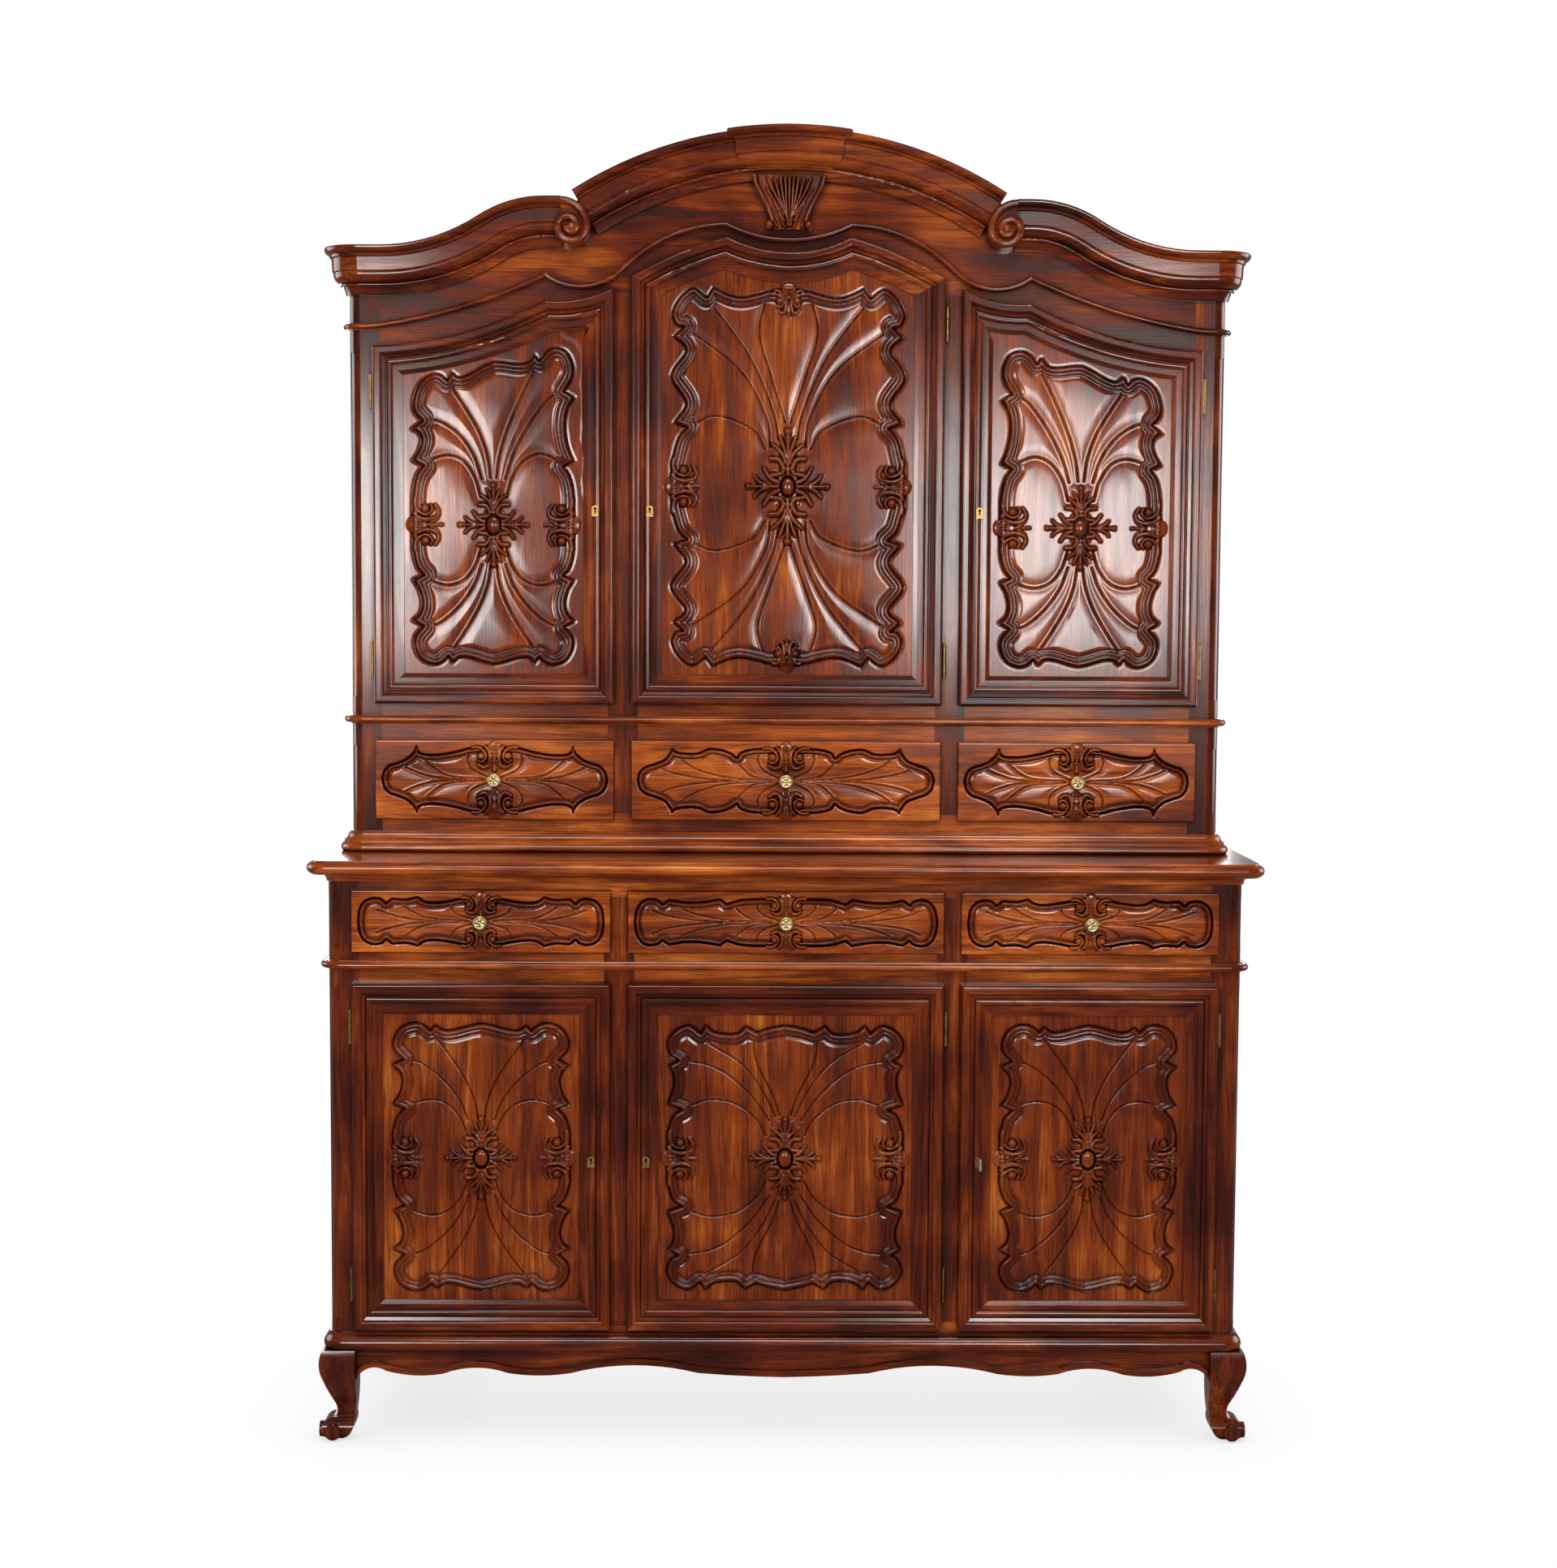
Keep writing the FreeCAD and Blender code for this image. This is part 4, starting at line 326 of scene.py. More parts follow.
def nearest(spots, x, z):
    """Distance from each place of a sheet to the nearest of the spots, handed on from cell to cell."""
    rows, columns = x.shape
    column = np.rint((spots[:, 0] - x[0, 0]) / (x[0, -1] - x[0, 0]) * (columns - 1))
    column = np.clip(column, 0, columns - 1).astype(int)
    row = np.rint((spots[:, 1] - z[0, column]) / (z[-1, column] - z[0, column]) * (rows - 1))
    row = np.clip(row, 0, rows - 1).astype(int)
    spot_x, spot_z = np.full(x.shape, float(FAR)), np.full(x.shape, float(FAR))
    spot_x[row, column], spot_z[row, column] = spots[:, 0], spots[:, 1]
    distance = np.hypot(x - spot_x, z - spot_z)
    steps = [2 ** power for power in range(int(math.log2(min(rows, columns) - 1)), -1, -1)] + [2, 1]
    for step in steps:
        for along in (-step, 0, step):
            for across in (-step, 0, step):
                near_x, near_z = shifted(spot_x, along, across), shifted(spot_z, along, across)
                found = np.hypot(x - near_x, z - near_z)
                closer = found < distance
                distance[closer] = found[closer]
                spot_x[closer], spot_z[closer] = near_x[closer], near_z[closer]
    return distance


def within(outline, x, z):
    """True for each place of a sheet inside the closed outline: each column of the sheet has one x."""
    inside = np.zeros(x.shape, bool)
    edge = x[0]
    for (ax, az), (bx, bz) in zip(outline, np.roll(outline, -1, axis=0)):
        for column in range(*np.searchsorted(edge, sorted((ax, bx)))):
            inside[:, column] ^= z[:, column] < az + (edge[column] - ax) / (bx - ax) * (bz - az)
    return inside


def dome(distance, radius):
    """Height from 1 at the middle down to 0 at the radius, as a half round."""
    return np.sqrt(np.clip(1 - (distance / radius) ** 2, 0, None))


def eased(value):
    """A smooth step from 0 to 1."""
    level = np.clip(value, 0, 1)
    return level * level * (3 - 2 * level)


# Carved forms: rounded strokes, each with its points, its radius at both ends and its height at both ends.
# In mm.

STROKE_STEP = .8 * MM


def tubes(x, z, strokes, scale=(1, 1), thick=1):
    """Height of the highest of the rounded strokes at each place."""
    height = np.zeros(x.shape)
    for points, radius_ends, height_ends in strokes:
        line = through(np.array(points, float) * np.array(scale) * MM, STROKE_STEP)
        radii = np.linspace(*radius_ends, len(line)) * thick * MM
        tops = np.linspace(*height_ends, len(line)) * thick * MM
        low, high = line.min(axis=0) - radii.max(), line.max(axis=0) + radii.max()
        near = (x > low[0]) & (x < high[0]) & (z > low[1]) & (z < high[1])
        if near.any():
            gaps = np.hypot(x[near][:, None] - line[:, 0], z[near][:, None] - line[:, 1])
            height[near] = np.maximum(height[near], (tops * dome(gaps, radii)).max(axis=1))
    return height


# A quarter of the rosette, for a half width and half height of so many units
ROSETTE_UNITS = 100
ROSETTE = [
    ([(0, 10), (0, 60), (0, 88)], (13, 7), (5, 4)),
    ([(10, 0), (60, 0), (88, 0)], (12, 6), (5, 4)),
    ([(10, 10), (24, 30)], (12, 8), (5, 3)),
    ([(0, 12), (0, 50), (0, 93)], (4.4, 3.2), (10, 7)),
    ([(0, 99)], (7, 7), (9, 9)),
    ([(3, 54), (11, 72), (20, 90)], (4.2, 3), (8, 6)),
    ([(4, 42), (15, 60), (38, 76)], (5.2, 3.2), (9, 6)),
    ([(8, 32), (22, 48), (44, 50)], (5.4, 4.8), (10, 8)),
    ([(12, 36), (14, 24), (40, 20)], (5, 5), (9, 8)),
    ([(18, 0), (60, 0), (92, 0)], (4.4, 3.2), (9, 7)),
    ([(99, 0)], (6.4, 6.4), (8.5, 8.5)),
    ([(54, 2), (72, 9), (84, 19)], (4.4, 4), (8, 7)),
    ([(22, 7), (42, 14), (60, 33)], (5.4, 4.2), (9, 7)),
]
CABOCHON = (12 * MM, 16 * MM)
CABOCHON_RISE = 11 * MM
CABOCHON_SEAT = 5 * MM
CABOCHON_GROOVE_SHARE = 1.3
ROSETTE_SEAT = 1.5 * MM
ROSETTE_FULL_WIDTH = 72 * MM


def rosette(x, z, half_width, half_height):
    """Leaves in a cross with curled leaves between them, round an oval boss."""
    across, up = np.abs(x), np.abs(z)
    thick = half_width / ROSETTE_FULL_WIDTH
    scale = (half_width / ROSETTE_UNITS / MM, half_height / ROSETTE_UNITS / MM)
    height = tubes(across, up, ROSETTE, scale, thick)
    height = np.where(height > 0, height + ROSETTE_SEAT, 0)
    oval = np.hypot(x / CABOCHON[0], z / CABOCHON[1])
    boss = CABOCHON_SEAT + (CABOCHON_RISE - CABOCHON_SEAT) * dome(oval, 1)
    seat = np.minimum(height, CABOCHON_SEAT / 2)
    return np.where(oval < 1, boss, np.where(oval < CABOCHON_GROOVE_SHARE, seat, height))


# Half of a pair of scrolls: the distance in from the edge, and the distance from their middle
SCROLL_PAIR = [
    ([(23, 30)], (9, 9), (12, 12)),
    ([(4, 50), (3, 41), (6, 30), (14.5, 22), (24, 19), (33, 24), (35.5, 32), (32, 37)], (3.8, 3.4), (7, 8)),
    ([(3, 0), (45, 0)], (17, 12), (4, 3)),
    ([(41, 37), (47, 27), (45.5, 17), (36, 11), (23.5, 9.4)], (4, 5.4), (7, 9)),
    ([(23.5, 9.4), (10, 13.4), (1, 21)], (5.4, 3.4), (9, 7)),
    ([(0, 14), (8, 9), (15, 6)], (2.2, 2), (6, 6)),
    ([(1, 3.5), (15, 3)], (3, 2), (7, 6)),
    ([(28, 1.5), (43, 1.5)], (2.6, 2.2), (7, 6)),
    ([(33, 4), (41, 7), (48, 13)], (2.4, 2.2), (7, 5)),
    ([(42, 0), (54, 0)], (2.4, 4.4), (6, 7)),
]


def scroll_pair(inward, along, deep=1, wide=1, thick=1):
    """Two scrolls with ball eyes that roll in from an edge, with leaves springing between them."""
    return tubes(inward, np.abs(along), SCROLL_PAIR, (deep, wide), thick)


# The edge of a raised door field and of a sunk drawer field: distance in from the outline, and height, in mm
DOOR_EDGE = [(-7, 0), (-2, -.6), (-.5, -1.4), (.8, 2.6), (2.6, 5.2), (4.8, 6.2), (7, 5.6), (9, 3.4), (10, 2.8),
             (11.4, 3.6), (13, 3.8), (14.6, 2.8), (16, 1.6), (19, 1.6)]
DRAWER_EDGE = [(-2.4, 0), (-.6, -.4), (.6, -4), (1.9, -4.4), (3.1, -3), (4.6, 1), (6.6, 2.4), (8.6, 1.2),
               (10.2, -2), (11.4, -2.8), (13.2, -1.8)]
PILLOW_HEIGHT = 1.8 * MM
PILLOW_EASE = 26 * MM
EDGE_EASE_SHARE = 3
GROOVE_DEPTH = 2 * MM
GROOVE_HALF = 1.4 * MM
LIP_HEIGHT = .5 * MM
LIP_PLACE = 3.4 * MM
PATINA_FADE = 5 * MM
ORNAMENT_PATINA = .45


def framed_relief(outline, lines, x, z, edge, rise=1):
    """A field cushioned between incised lines, inside a moulded edge that follows a scalloped outline.
    Returns its height, and how dark with age it is."""
    distance = nearest(outline, x, z)
    signed = np.where(within(outline, x, z), distance, -distance)
    stations = np.array(edge) * MM
    moulding = np.interp(signed, stations[:, 0], stations[:, 1])
    from_line = nearest(lines, x, z)
    from_edge = np.clip(signed - stations[-1, 0], 0, None)
    room = np.clip(np.minimum(from_line, EDGE_EASE_SHARE * from_edge) / PILLOW_EASE, 0, 1)
    pillow = rise * PILLOW_HEIGHT * (1 - (1 - room) ** 2)
    groove = GROOVE_DEPTH * np.exp(-(from_line / GROOVE_HALF) ** 2)
    lip = LIP_HEIGHT * np.exp(-((from_line - LIP_PLACE) / GROOVE_HALF) ** 2)
    past_start = eased((signed - stations[0, 0]) / PATINA_FADE)
    patina = past_start * (1 - eased((signed - stations[-1, 0]) / PATINA_FADE))
    return moulding + (pillow - groove + lip) * (from_edge > 0), patina


# Carved plates


def blurred(field, reach):
    """The field averaged over a square of cells each way."""
    padded = np.pad(field, reach, mode="edge")
    total = np.cumsum(np.cumsum(np.pad(padded, ((1, 0), (1, 0))), axis=0), axis=1)
    width = 2 * reach + 1
    return (total[width:, width:] - total[:-width, width:] - total[width:, :-width]
            + total[:-width, :-width]) / width ** 2


SHARP_ANGLE = math.radians(55)
# Painted shade in carved hollows: the blur round each place in cells, and the depth below it that gives full
# shade
SHADE_CAVITY_REACH = 3
SHADE_CAVITY_DEPTH = 2.5 * MM
FLAT_RIPPLE = .012 * MM
FLAT_REACH = 3
SIDE_PANEL_GRID = 1.3 * MM
CENTRE_PANEL_GRID = 1.55 * MM
DRAWER_GRID = 1.1 * MM
PANEL_KEPT_SHARE = .42
DRAWER_KEPT_SHARE = .55


def flat_places(height):
    """True where the carving is smooth for a few cells all round."""
    ripple = np.abs(height - blurred(height, 1)) > FLAT_RIPPLE
    return blurred(ripple.astype(float), FLAT_REACH) == 0


def overlaid(height, ornament):
    """The height with an ornament set on it."""
    return np.where(ornament > 0, np.maximum(height, ornament), height)


def sheet(x_low, x_high, z_low, head, grid):
    """Places of a board's front in rows and columns: its head may be curved."""
    columns = int((x_high - x_low) / grid) + 1
    edge = np.linspace(x_low, x_high, columns)
    rows = int((head(edge).max() - z_low) / grid) + 1
    x = np.repeat(edge[None, :], rows, axis=0)
    return x, z_low + np.linspace(0, 1, rows)[:, None] * (head(x) - z_low)


def linked(name, data):
    """A new object with its data, in the scene."""
    made = bpy.data.objects.new(name, data)
    bpy.context.collection.objects.link(made)
    return made


def smoothed(mesh):
    """Shades a mesh smooth up to its sharp edges."""
    mesh.shade_smooth()
    mesh.set_sharp_from_angle(angle=SHARP_ANGLE)


def board_of(name, x, z, height, patina, front, back):
    """A closed board whose front is carved to the height at each place. Returns a mesh object."""
    rows, columns = x.shape
    # Painted shade for the carving's hollows: how far each place lies below its blurred surroundings
    cavity_shade = np.clip((blurred(height, SHADE_CAVITY_REACH) - height) / SHADE_CAVITY_DEPTH, 0, 1)
    number = np.arange(rows * columns).reshape(rows, columns)
    corners = (number[:-1, :-1], number[:-1, 1:], number[1:, 1:], number[1:, :-1])
    faces = np.stack(corners, axis=-1).reshape(-1, len(corners))
    rim = np.concatenate([number[0, :-1], number[:-1, -1], number[-1, :0:-1], number[:0:-1, 0]])
    points = np.stack([x, front - height, z], axis=-1).reshape(-1, 3)
    rear = points[rim].copy()
    rear[:, 1] = back
    rear_number = len(points) + np.arange(len(rim))
    walls = np.stack([rim, rear_number, np.roll(rear_number, -1), np.roll(rim, -1)], axis=-1)
    mesh = bpy.data.meshes.new(name)
    mesh.from_pydata(np.vstack([points, rear]).tolist(), [],
                     np.vstack([faces, walls]).tolist() + [rear_number.tolist()])
    for kind, values in (("cavity_shade", cavity_shade), ("patina", patina)):
        attribute = mesh.attributes.new(kind, "FLOAT", "POINT")
        attribute.data.foreach_set("value", np.concatenate([values.ravel(), np.zeros(len(rim))]))
    mesh.update()
    piece = linked(name, mesh)
    group = piece.vertex_groups.new(name="flat")
    group.add(number[flat_places(height)].tolist(), 1, "ADD")
    return piece


def thinned(piece, kept_share):
    """Takes away points where the carving is flat, and shades what is left smooth up to its edges."""
    modifier = piece.modifiers.new("thin", "DECIMATE")
    modifier.ratio = kept_share
    modifier.vertex_group = "flat"
    with bpy.context.temp_override(object=piece, active_object=piece, selected_objects=[piece]):
        bpy.ops.object.modifier_apply(modifier="thin")
    smoothed(piece.data)


def dress(piece, body, slot, finish, *replaced):
    """Gives a piece its finish and ties it to the body that it moves with."""
    piece.data.materials.append(finish)
    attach(piece, body)
    if replaced:
        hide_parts(*replaced)


# Door panels. A quarter of each scalloped outline as runs between points, from the middle of the head
# to the middle of the side, in shares of half the width and half the height.

SIDE_RUNS = [
    [(0, 1), (.12, .985), (.31, .953), (.43, .951), (.512, .987)],
    [(.512, .987), (.571, .947)],
    [(.571, .947), (.66, .991), (.768, 1.003), (.906, .967), (.983, .886), (.977, .806), (.875, .731)],
    [(.875, .731), (1, .689)],
    [(1, .689), (.915, .638), (.888, .564), (.925, .469), (.995, .399)],
    [(.995, .399), (.866, .363)],
    [(.866, .363), (.94, .312), (.983, .242), (1, .171)],
    [(1, .171), (1, 0)],
]
SIDE_LINES = [
    [(.875, .731), (.676, .705), (.43, .584), (.246, .433), (.148, .283)],
    [(.571, .947), (.368, .775), (.185, .594), (.077, .433), (.037, .291)],
    [(.866, .363), (.735, .413), (.553, .433), (.368, .393), (.23, .291), (.16, .171)],
]
LOWER_CENTRE_RUNS = [
    [(0, .993), (.15, .967), (.244, .94)],
    [(.244, .94), (.337, .987)],
    [(.337, .987), (.407, .932), (.523, .927), (.616, .947), (.674, .993)],
    [(.674, .993), (.72, .932)],
    [(.72, .932), (.825, .991), (.942, .947), (1, .866), (.977, .775), (.907, .731)],
    [(.907, .731), (.993, .689)],
    [(.993, .689), (.953, .634), (.946, .534), (1, .403)],
    [(1, .403), (.872, .363)],
    [(.872, .363), (.953, .312), (1, .191)],
    [(1, .191), (1, 0)],
]
LOWER_CENTRE_LINES = [
    [(.047, .322), (.105, .473), (.233, .695), (.267, .836), (.244, .94)],
    [(.081, .312), (.198, .514), (.383, .715), (.64, .856), (.72, .932)],
    [(.133, .282), (.291, .473), (.5, .634), (.686, .704), (.907, .731)],
    [(.163, .171), (.244, .292), (.407, .403), (.616, .439), (.756, .413), (.872, .363)],
]
UPPER_CENTRE_RUNS = [
    [(0, .97), (.148, .988), (.261, .971), (.403, .955), (.517, .968), (.645, 1.005)],
    [(.645, 1.005), (.702, .955)],
    [(.702, .955), (.815, 1), (.929, .955), (.991, .879), (.957, .82), (.892, .808)],
    [(.892, .808), (.977, .761)],
    [(.977, .761), (.875, .69), (1, .56), (.875, .425), (.974, .324)],
    [(.974, .324), (.861, .299)],
    [(.861, .299), (.943, .24), (1, .114)],
    [(1, .114), (1, 0)],
]
UPPER_CENTRE_LINES = [
    [(.193, .95), (.25, .778), (.148, .56), (.023, .324)],
    [(.861, .299), (.619, .358), (.307, .291), (.193, .19)],
    [(.892, .808), (.42, .593), (.193, .358), (.15, .198)],
    [(.702, .955), (.335, .66), (.136, .392), (.08, .24)],
]
REAR_SLACK = .1 * MM
FOOT_SLACK = 1 * MM
RIB_MARGIN = 26 * MM
PANEL_THICK = 9 * MM
CURVE_STEP = 1.5 * MM
TILT_START_SHARE = .36
TILT_SPAN_SHARE = .41
UPPER_SIDE_RISE = 288 * MM
UPPER_SIDE_TOP = 304 * MM
UPPER_SIDE_TILT = 33 * MM
UPPER_CENTRE_RISE = 363 * MM
UPPER_CENTRE_TOP = 368 * MM
FLEUR_SHARES = (.95, .52)
FLEUR_THICK_SHARE = .95
SIDE_ROSETTE = (64 * MM, 75 * MM)
UPPER_CENTRE_ROSETTE = (75 * MM, 104 * MM)


def quarter_turns(runs):
    """The four quarters of a closed outline, in order round it."""
    back = [run[::-1] for run in runs[::-1]]
    turns = []
    for sign_x, sign_z, chosen in ((1, 1, runs), (1, -1, back), (-1, -1, runs), (-1, 1, back)):
        turns += [[(sign_x * u, sign_z * v) for u, v in run] for run in chosen]
    return turns


def four_ways(lines):
    """Each line in all four quarters."""
    quarters = [(sign_x, sign_z) for sign_x in (-1, 1) for sign_z in (-1, 1)]
    return [[(sign_x * u, sign_z * v) for u, v in line] for line in lines for sign_x, sign_z in quarters]


def head_of(node_name):
    """The upper edge of a panel as a function of x, read from the back of its solid."""
    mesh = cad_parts[node_name].data
    points = np.array([vertex.co[:] for vertex in mesh.vertices])
    low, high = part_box(node_name)
    rear = points[points[:, 1] > high[1] - REAR_SLACK]
    edge = rear[rear[:, 2] > low[2] + FOOT_SLACK]
    edge = edge[np.argsort(edge[:, 0])]
    return lambda x: np.interp(x, edge[:, 0], edge[:, 2])


def door_panel(tier, bay):
    """The carved panel of a door."""
    node_name = f"{tier}_{bay}_door_panel"
    low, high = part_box(node_name)
    middle_x = (low[0] + high[0]) / 2
    half_width = (high[0] - low[0]) / 2 - RIB_MARGIN
    runs, lines = (SIDE_RUNS, SIDE_LINES) if BAYS[bay] else (LOWER_CENTRE_RUNS, LOWER_CENTRE_LINES)
    middle_z = (low[2] + high[2]) / 2
    half_top = (high[2] - low[2]) / 2 - RIB_MARGIN
    tilt = 0
    if tier == "upper" and BAYS[bay]:
        middle_z, half_top, tilt = low[2] + UPPER_SIDE_RISE, UPPER_SIDE_TOP, -BAYS[bay] * UPPER_SIDE_TILT
    if tier == "upper" and not BAYS[bay]:
        middle_z, half_top = low[2] + UPPER_CENTRE_RISE, UPPER_CENTRE_TOP
        runs, lines = UPPER_CENTRE_RUNS, UPPER_CENTRE_LINES
    half_low = middle_z - low[2] - RIB_MARGIN

    def placed(curves):
        pieces = []
        for curve in curves:
            spots = []
            for u, v in curve:
                lift = tilt * u * eased((v - TILT_START_SHARE) / TILT_SPAN_SHARE)
                reach = half_top if v > 0 else half_low
                spots.append((middle_x + u * half_width, middle_z + v * reach + lift))
            pieces.append(through(spots, CURVE_STEP))
        return np.vstack(pieces)
    outline = placed(quarter_turns(runs))
    incised = placed(four_ways(lines))

    is_tall = tier == "upper" and not BAYS[bay]
    grid = SIDE_PANEL_GRID if BAYS[bay] else CENTRE_PANEL_GRID
    x, z = sheet(low[0], high[0], low[2], head_of(node_name), grid)
    height, patina = framed_relief(outline, incised, x, z, DOOR_EDGE)
    rosette_half = UPPER_CENTRE_ROSETTE if is_tall else SIDE_ROSETTE
    ornaments = [rosette(x - middle_x, z - middle_z, *rosette_half)]
    for side in (-1, 1):
        ornaments.append(scroll_pair(side * (middle_x - x) + half_width, z - middle_z))
    if is_tall:
        for sign, reach in ((1, half_top), (-1, half_low)):
            ornaments.append(scroll_pair(sign * (middle_z - z) + reach, x - middle_x, *FLEUR_SHARES,
                                         FLEUR_THICK_SHARE))
    for ornament in ornaments:
        height = overlaid(height, ornament)
        patina = np.where(ornament > 0, ORNAMENT_PATINA, patina)
    piece = board_of(f"{node_name}_carved", x, z, height, patina, high[1] - PANEL_THICK, high[1])
    thinned(piece, PANEL_KEPT_SHARE)
    dress(piece, f"{tier}_{bay}_door", "panel_walnut", walnut_carved_up, node_name)


# Drawer fronts. A quarter of each cartouche, from the middle of its end to its middle scrolls.

DRAWER_RUNS = {
    ("upper", "side"): [
        [(1, 0), (.98, .25), (.93, .43), (.865, .5)],
        [(.865, .5), (.78, .62), (.72, .8), (.69, 1)],
        [(.69, 1), (.65, .79), (.52, .75), (.346, .84), (.19, .965), (0, .97)],
    ],
    ("upper", "centre"): [
        [(1, 0), (.985, .25), (.94, .42), (.885, .5)],
        [(.885, .5), (.82, .62), (.785, .8), (.765, .97)],
        [(.765, .97), (.72, .84), (.6, .82), (.52, .95), (.44, .93), (.37, .83), (.33, .7)],
        [(.33, .7), (.3, .86), (.2, .96), (0, .97)],
    ],
    ("lower", "side"): [
        [(1, 0), (.985, .5), (.94, .82), (.868, .95), (.8, .9), (.766, .75)],
        [(.766, .75), (.72, .93)],
        [(.72, .93), (.6, .9), (.51, 1)],
        [(.51, 1), (.45, .82), (.368, .78), (.25, .85), (.143, .95), (0, .97)],
    ],
    ("lower", "centre"): [
        [(1, 0), (.985, .5), (.95, .82), (.9, .95), (.84, .9), (.81, .75)],
        [(.81, .75), (.77, .93)],
        [(.77, .93), (.66, .82), (.55, .84), (.43, .95)],
        [(.43, .95), (.39, .76)],
        [(.39, .76), (.3, .92), (.2, .96), (0, .97)],
    ],
}
DRAWER_LINES = {
    "side": [
        [(.1, .02), (.4, .1), (.56, .4), (.68, .85)],
        [(.14, 0), (.5, .05), (.7, .22), (.85, .46)],
        [(.2, .93), (.24, .62), (.2, .3), (.05, .06)],
    ],
    "centre": [
        [(.1, .02), (.22, .12), (.3, .4), (.34, .66)],
        [(.12, .01), (.4, .1), (.62, .38), (.76, .84)],
        [(.14, 0), (.5, .04), (.76, .22), (.88, .46)],
        [(.16, .93), (.19, .62), (.15, .3), (.04, .06)],
    ],
}
DRAWER_BLOCK = 14 * MM
DRAWER_LIP = 9 * MM
BLOCK_INSET = 14 * MM
CARTOUCHE_MARGIN = 11 * MM
EDGE_ROUND = 3 * MM
DRAWER_SCROLLS = {"upper": (.86, .85, .8), "lower": (.66, .72, .7)}
DRAWER_RISE_SHARE = .75


def block_behind(piece, low, high, seat):
    """The thicker middle of a drawer front, added behind its lip."""
    corners = [(x, y, z) for x in (low[0] + BLOCK_INSET, high[0] - BLOCK_INSET) for y in (seat, high[1])
               for z in (low[2] + BLOCK_INSET, high[2] - BLOCK_INSET)]
    faces = [(0, 1, 3, 2), (4, 6, 7, 5), (0, 4, 5, 1), (2, 3, 7, 6), (1, 5, 7, 3), (0, 2, 6, 4)]
    mesh = bpy.data.meshes.new(f"{piece.name}_block")
    mesh.from_pydata(corners, [], faces)
    return linked(mesh.name, mesh)


def drawer_front(tier, bay):
    """The carved front of a drawer."""
    node_name = f"{tier}_{bay}_drawer_front"
    low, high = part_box(node_name)
    middle_x, middle_z = (low[0] + high[0]) / 2, (low[2] + high[2]) / 2
    half_width = middle_x - low[0] - CARTOUCHE_MARGIN
    half_height = middle_z - low[2] - CARTOUCHE_MARGIN
    kind = "side" if BAYS[bay] else "centre"
    runs = DRAWER_RUNS[tier, kind]

    def placed(curves):
        pieces = []
        for curve in curves:
            spots = [(middle_x + u * half_width, middle_z + v * half_height) for u, v in curve]
            pieces.append(through(spots, CURVE_STEP))
        return np.vstack(pieces)
    outline = placed(quarter_turns([run[::-1] for run in runs[::-1]]))
    incised = placed(four_ways(DRAWER_LINES[kind]))
    seat = high[1] - DRAWER_BLOCK
    x, z = sheet(low[0], high[0], low[2], lambda edge: np.full(np.shape(edge), high[2]), DRAWER_GRID)
    height, patina = framed_relief(outline, incised, x, z, DRAWER_EDGE, DRAWER_RISE_SHARE)
    for sign in (-1, 1):
        ornament = scroll_pair(sign * (middle_z - z) + half_height, x - middle_x, *DRAWER_SCROLLS[tier])
        height = overlaid(height, ornament)
        patina = np.where(ornament > 0, ORNAMENT_PATINA, patina)
    rim = np.minimum(np.minimum(x - low[0], high[0] - x), np.minimum(z - low[2], high[2] - z))
    height -= EDGE_ROUND * (1 - dome(np.clip(EDGE_ROUND - rim, 0, None), EDGE_ROUND))
    piece = board_of(f"{node_name}_carved", x, z, height, patina, seat - DRAWER_LIP, seat)
    thinned(piece, DRAWER_KEPT_SHARE)
    dress(piece, f"{tier}_{bay}_drawer", "door_walnut", walnut_carved_across, node_name)
    block = block_behind(piece, low, high, seat)
    dress(block, f"{tier}_{bay}_drawer", "inner_wood", pale_wood)


# Corbel: half of its leaf, the distance from its middle and the height over its foot, in mm

CORBEL_LEAF = [
    ([(0, 6), (0, 94)], (2.8, 2.4), (8, 7)),
    ([(3, 8), (5.5, 50), (8, 94)], (2.8, 2.8), (6, 7)),
    ([(4, 20), (11, 55), (17, 93)], (3.2, 3), (6, 7)),
    ([(6, 26), (18, 58), (28, 92)], (3.2, 3), (6, 7)),
    ([(8, 30), (25, 60), (40, 90)], (3.2, 3.4), (6, 8)),
    ([(10, 26), (25, 48), (43, 74)], (3, 2.6), (6, 5)),
    ([(9, 16), (19, 32), (31, 54)], (3, 2.4), (6, 4)),
    ([(8, 4), (13, 14), (20, 30)], (3, 2.4), (7, 4)),
    ([(66, 96), (62, 80), (51, 60), (41, 42), (34, 26), (31, 16)], (6, 5), (10, 8)),
    ([(37, 8)], (8.5, 8.5), (14, 14)),
    ([(24, 5), (27, 14)], (3, 2.4), (7, 5)),
]
# Shares of the height, and of half the width there
CORBEL_SIDES = [(0, .53), (.03, .6), (.085, .625), (.14, .56), (.19, .5), (.28, .55), (.43, .64), (.62, .79),
                (.81, .93), (1, 1)]
CORBEL_FOOT = 13 * MM
CORBEL_HEAD = 24 * MM
CORBEL_GRID = .8 * MM


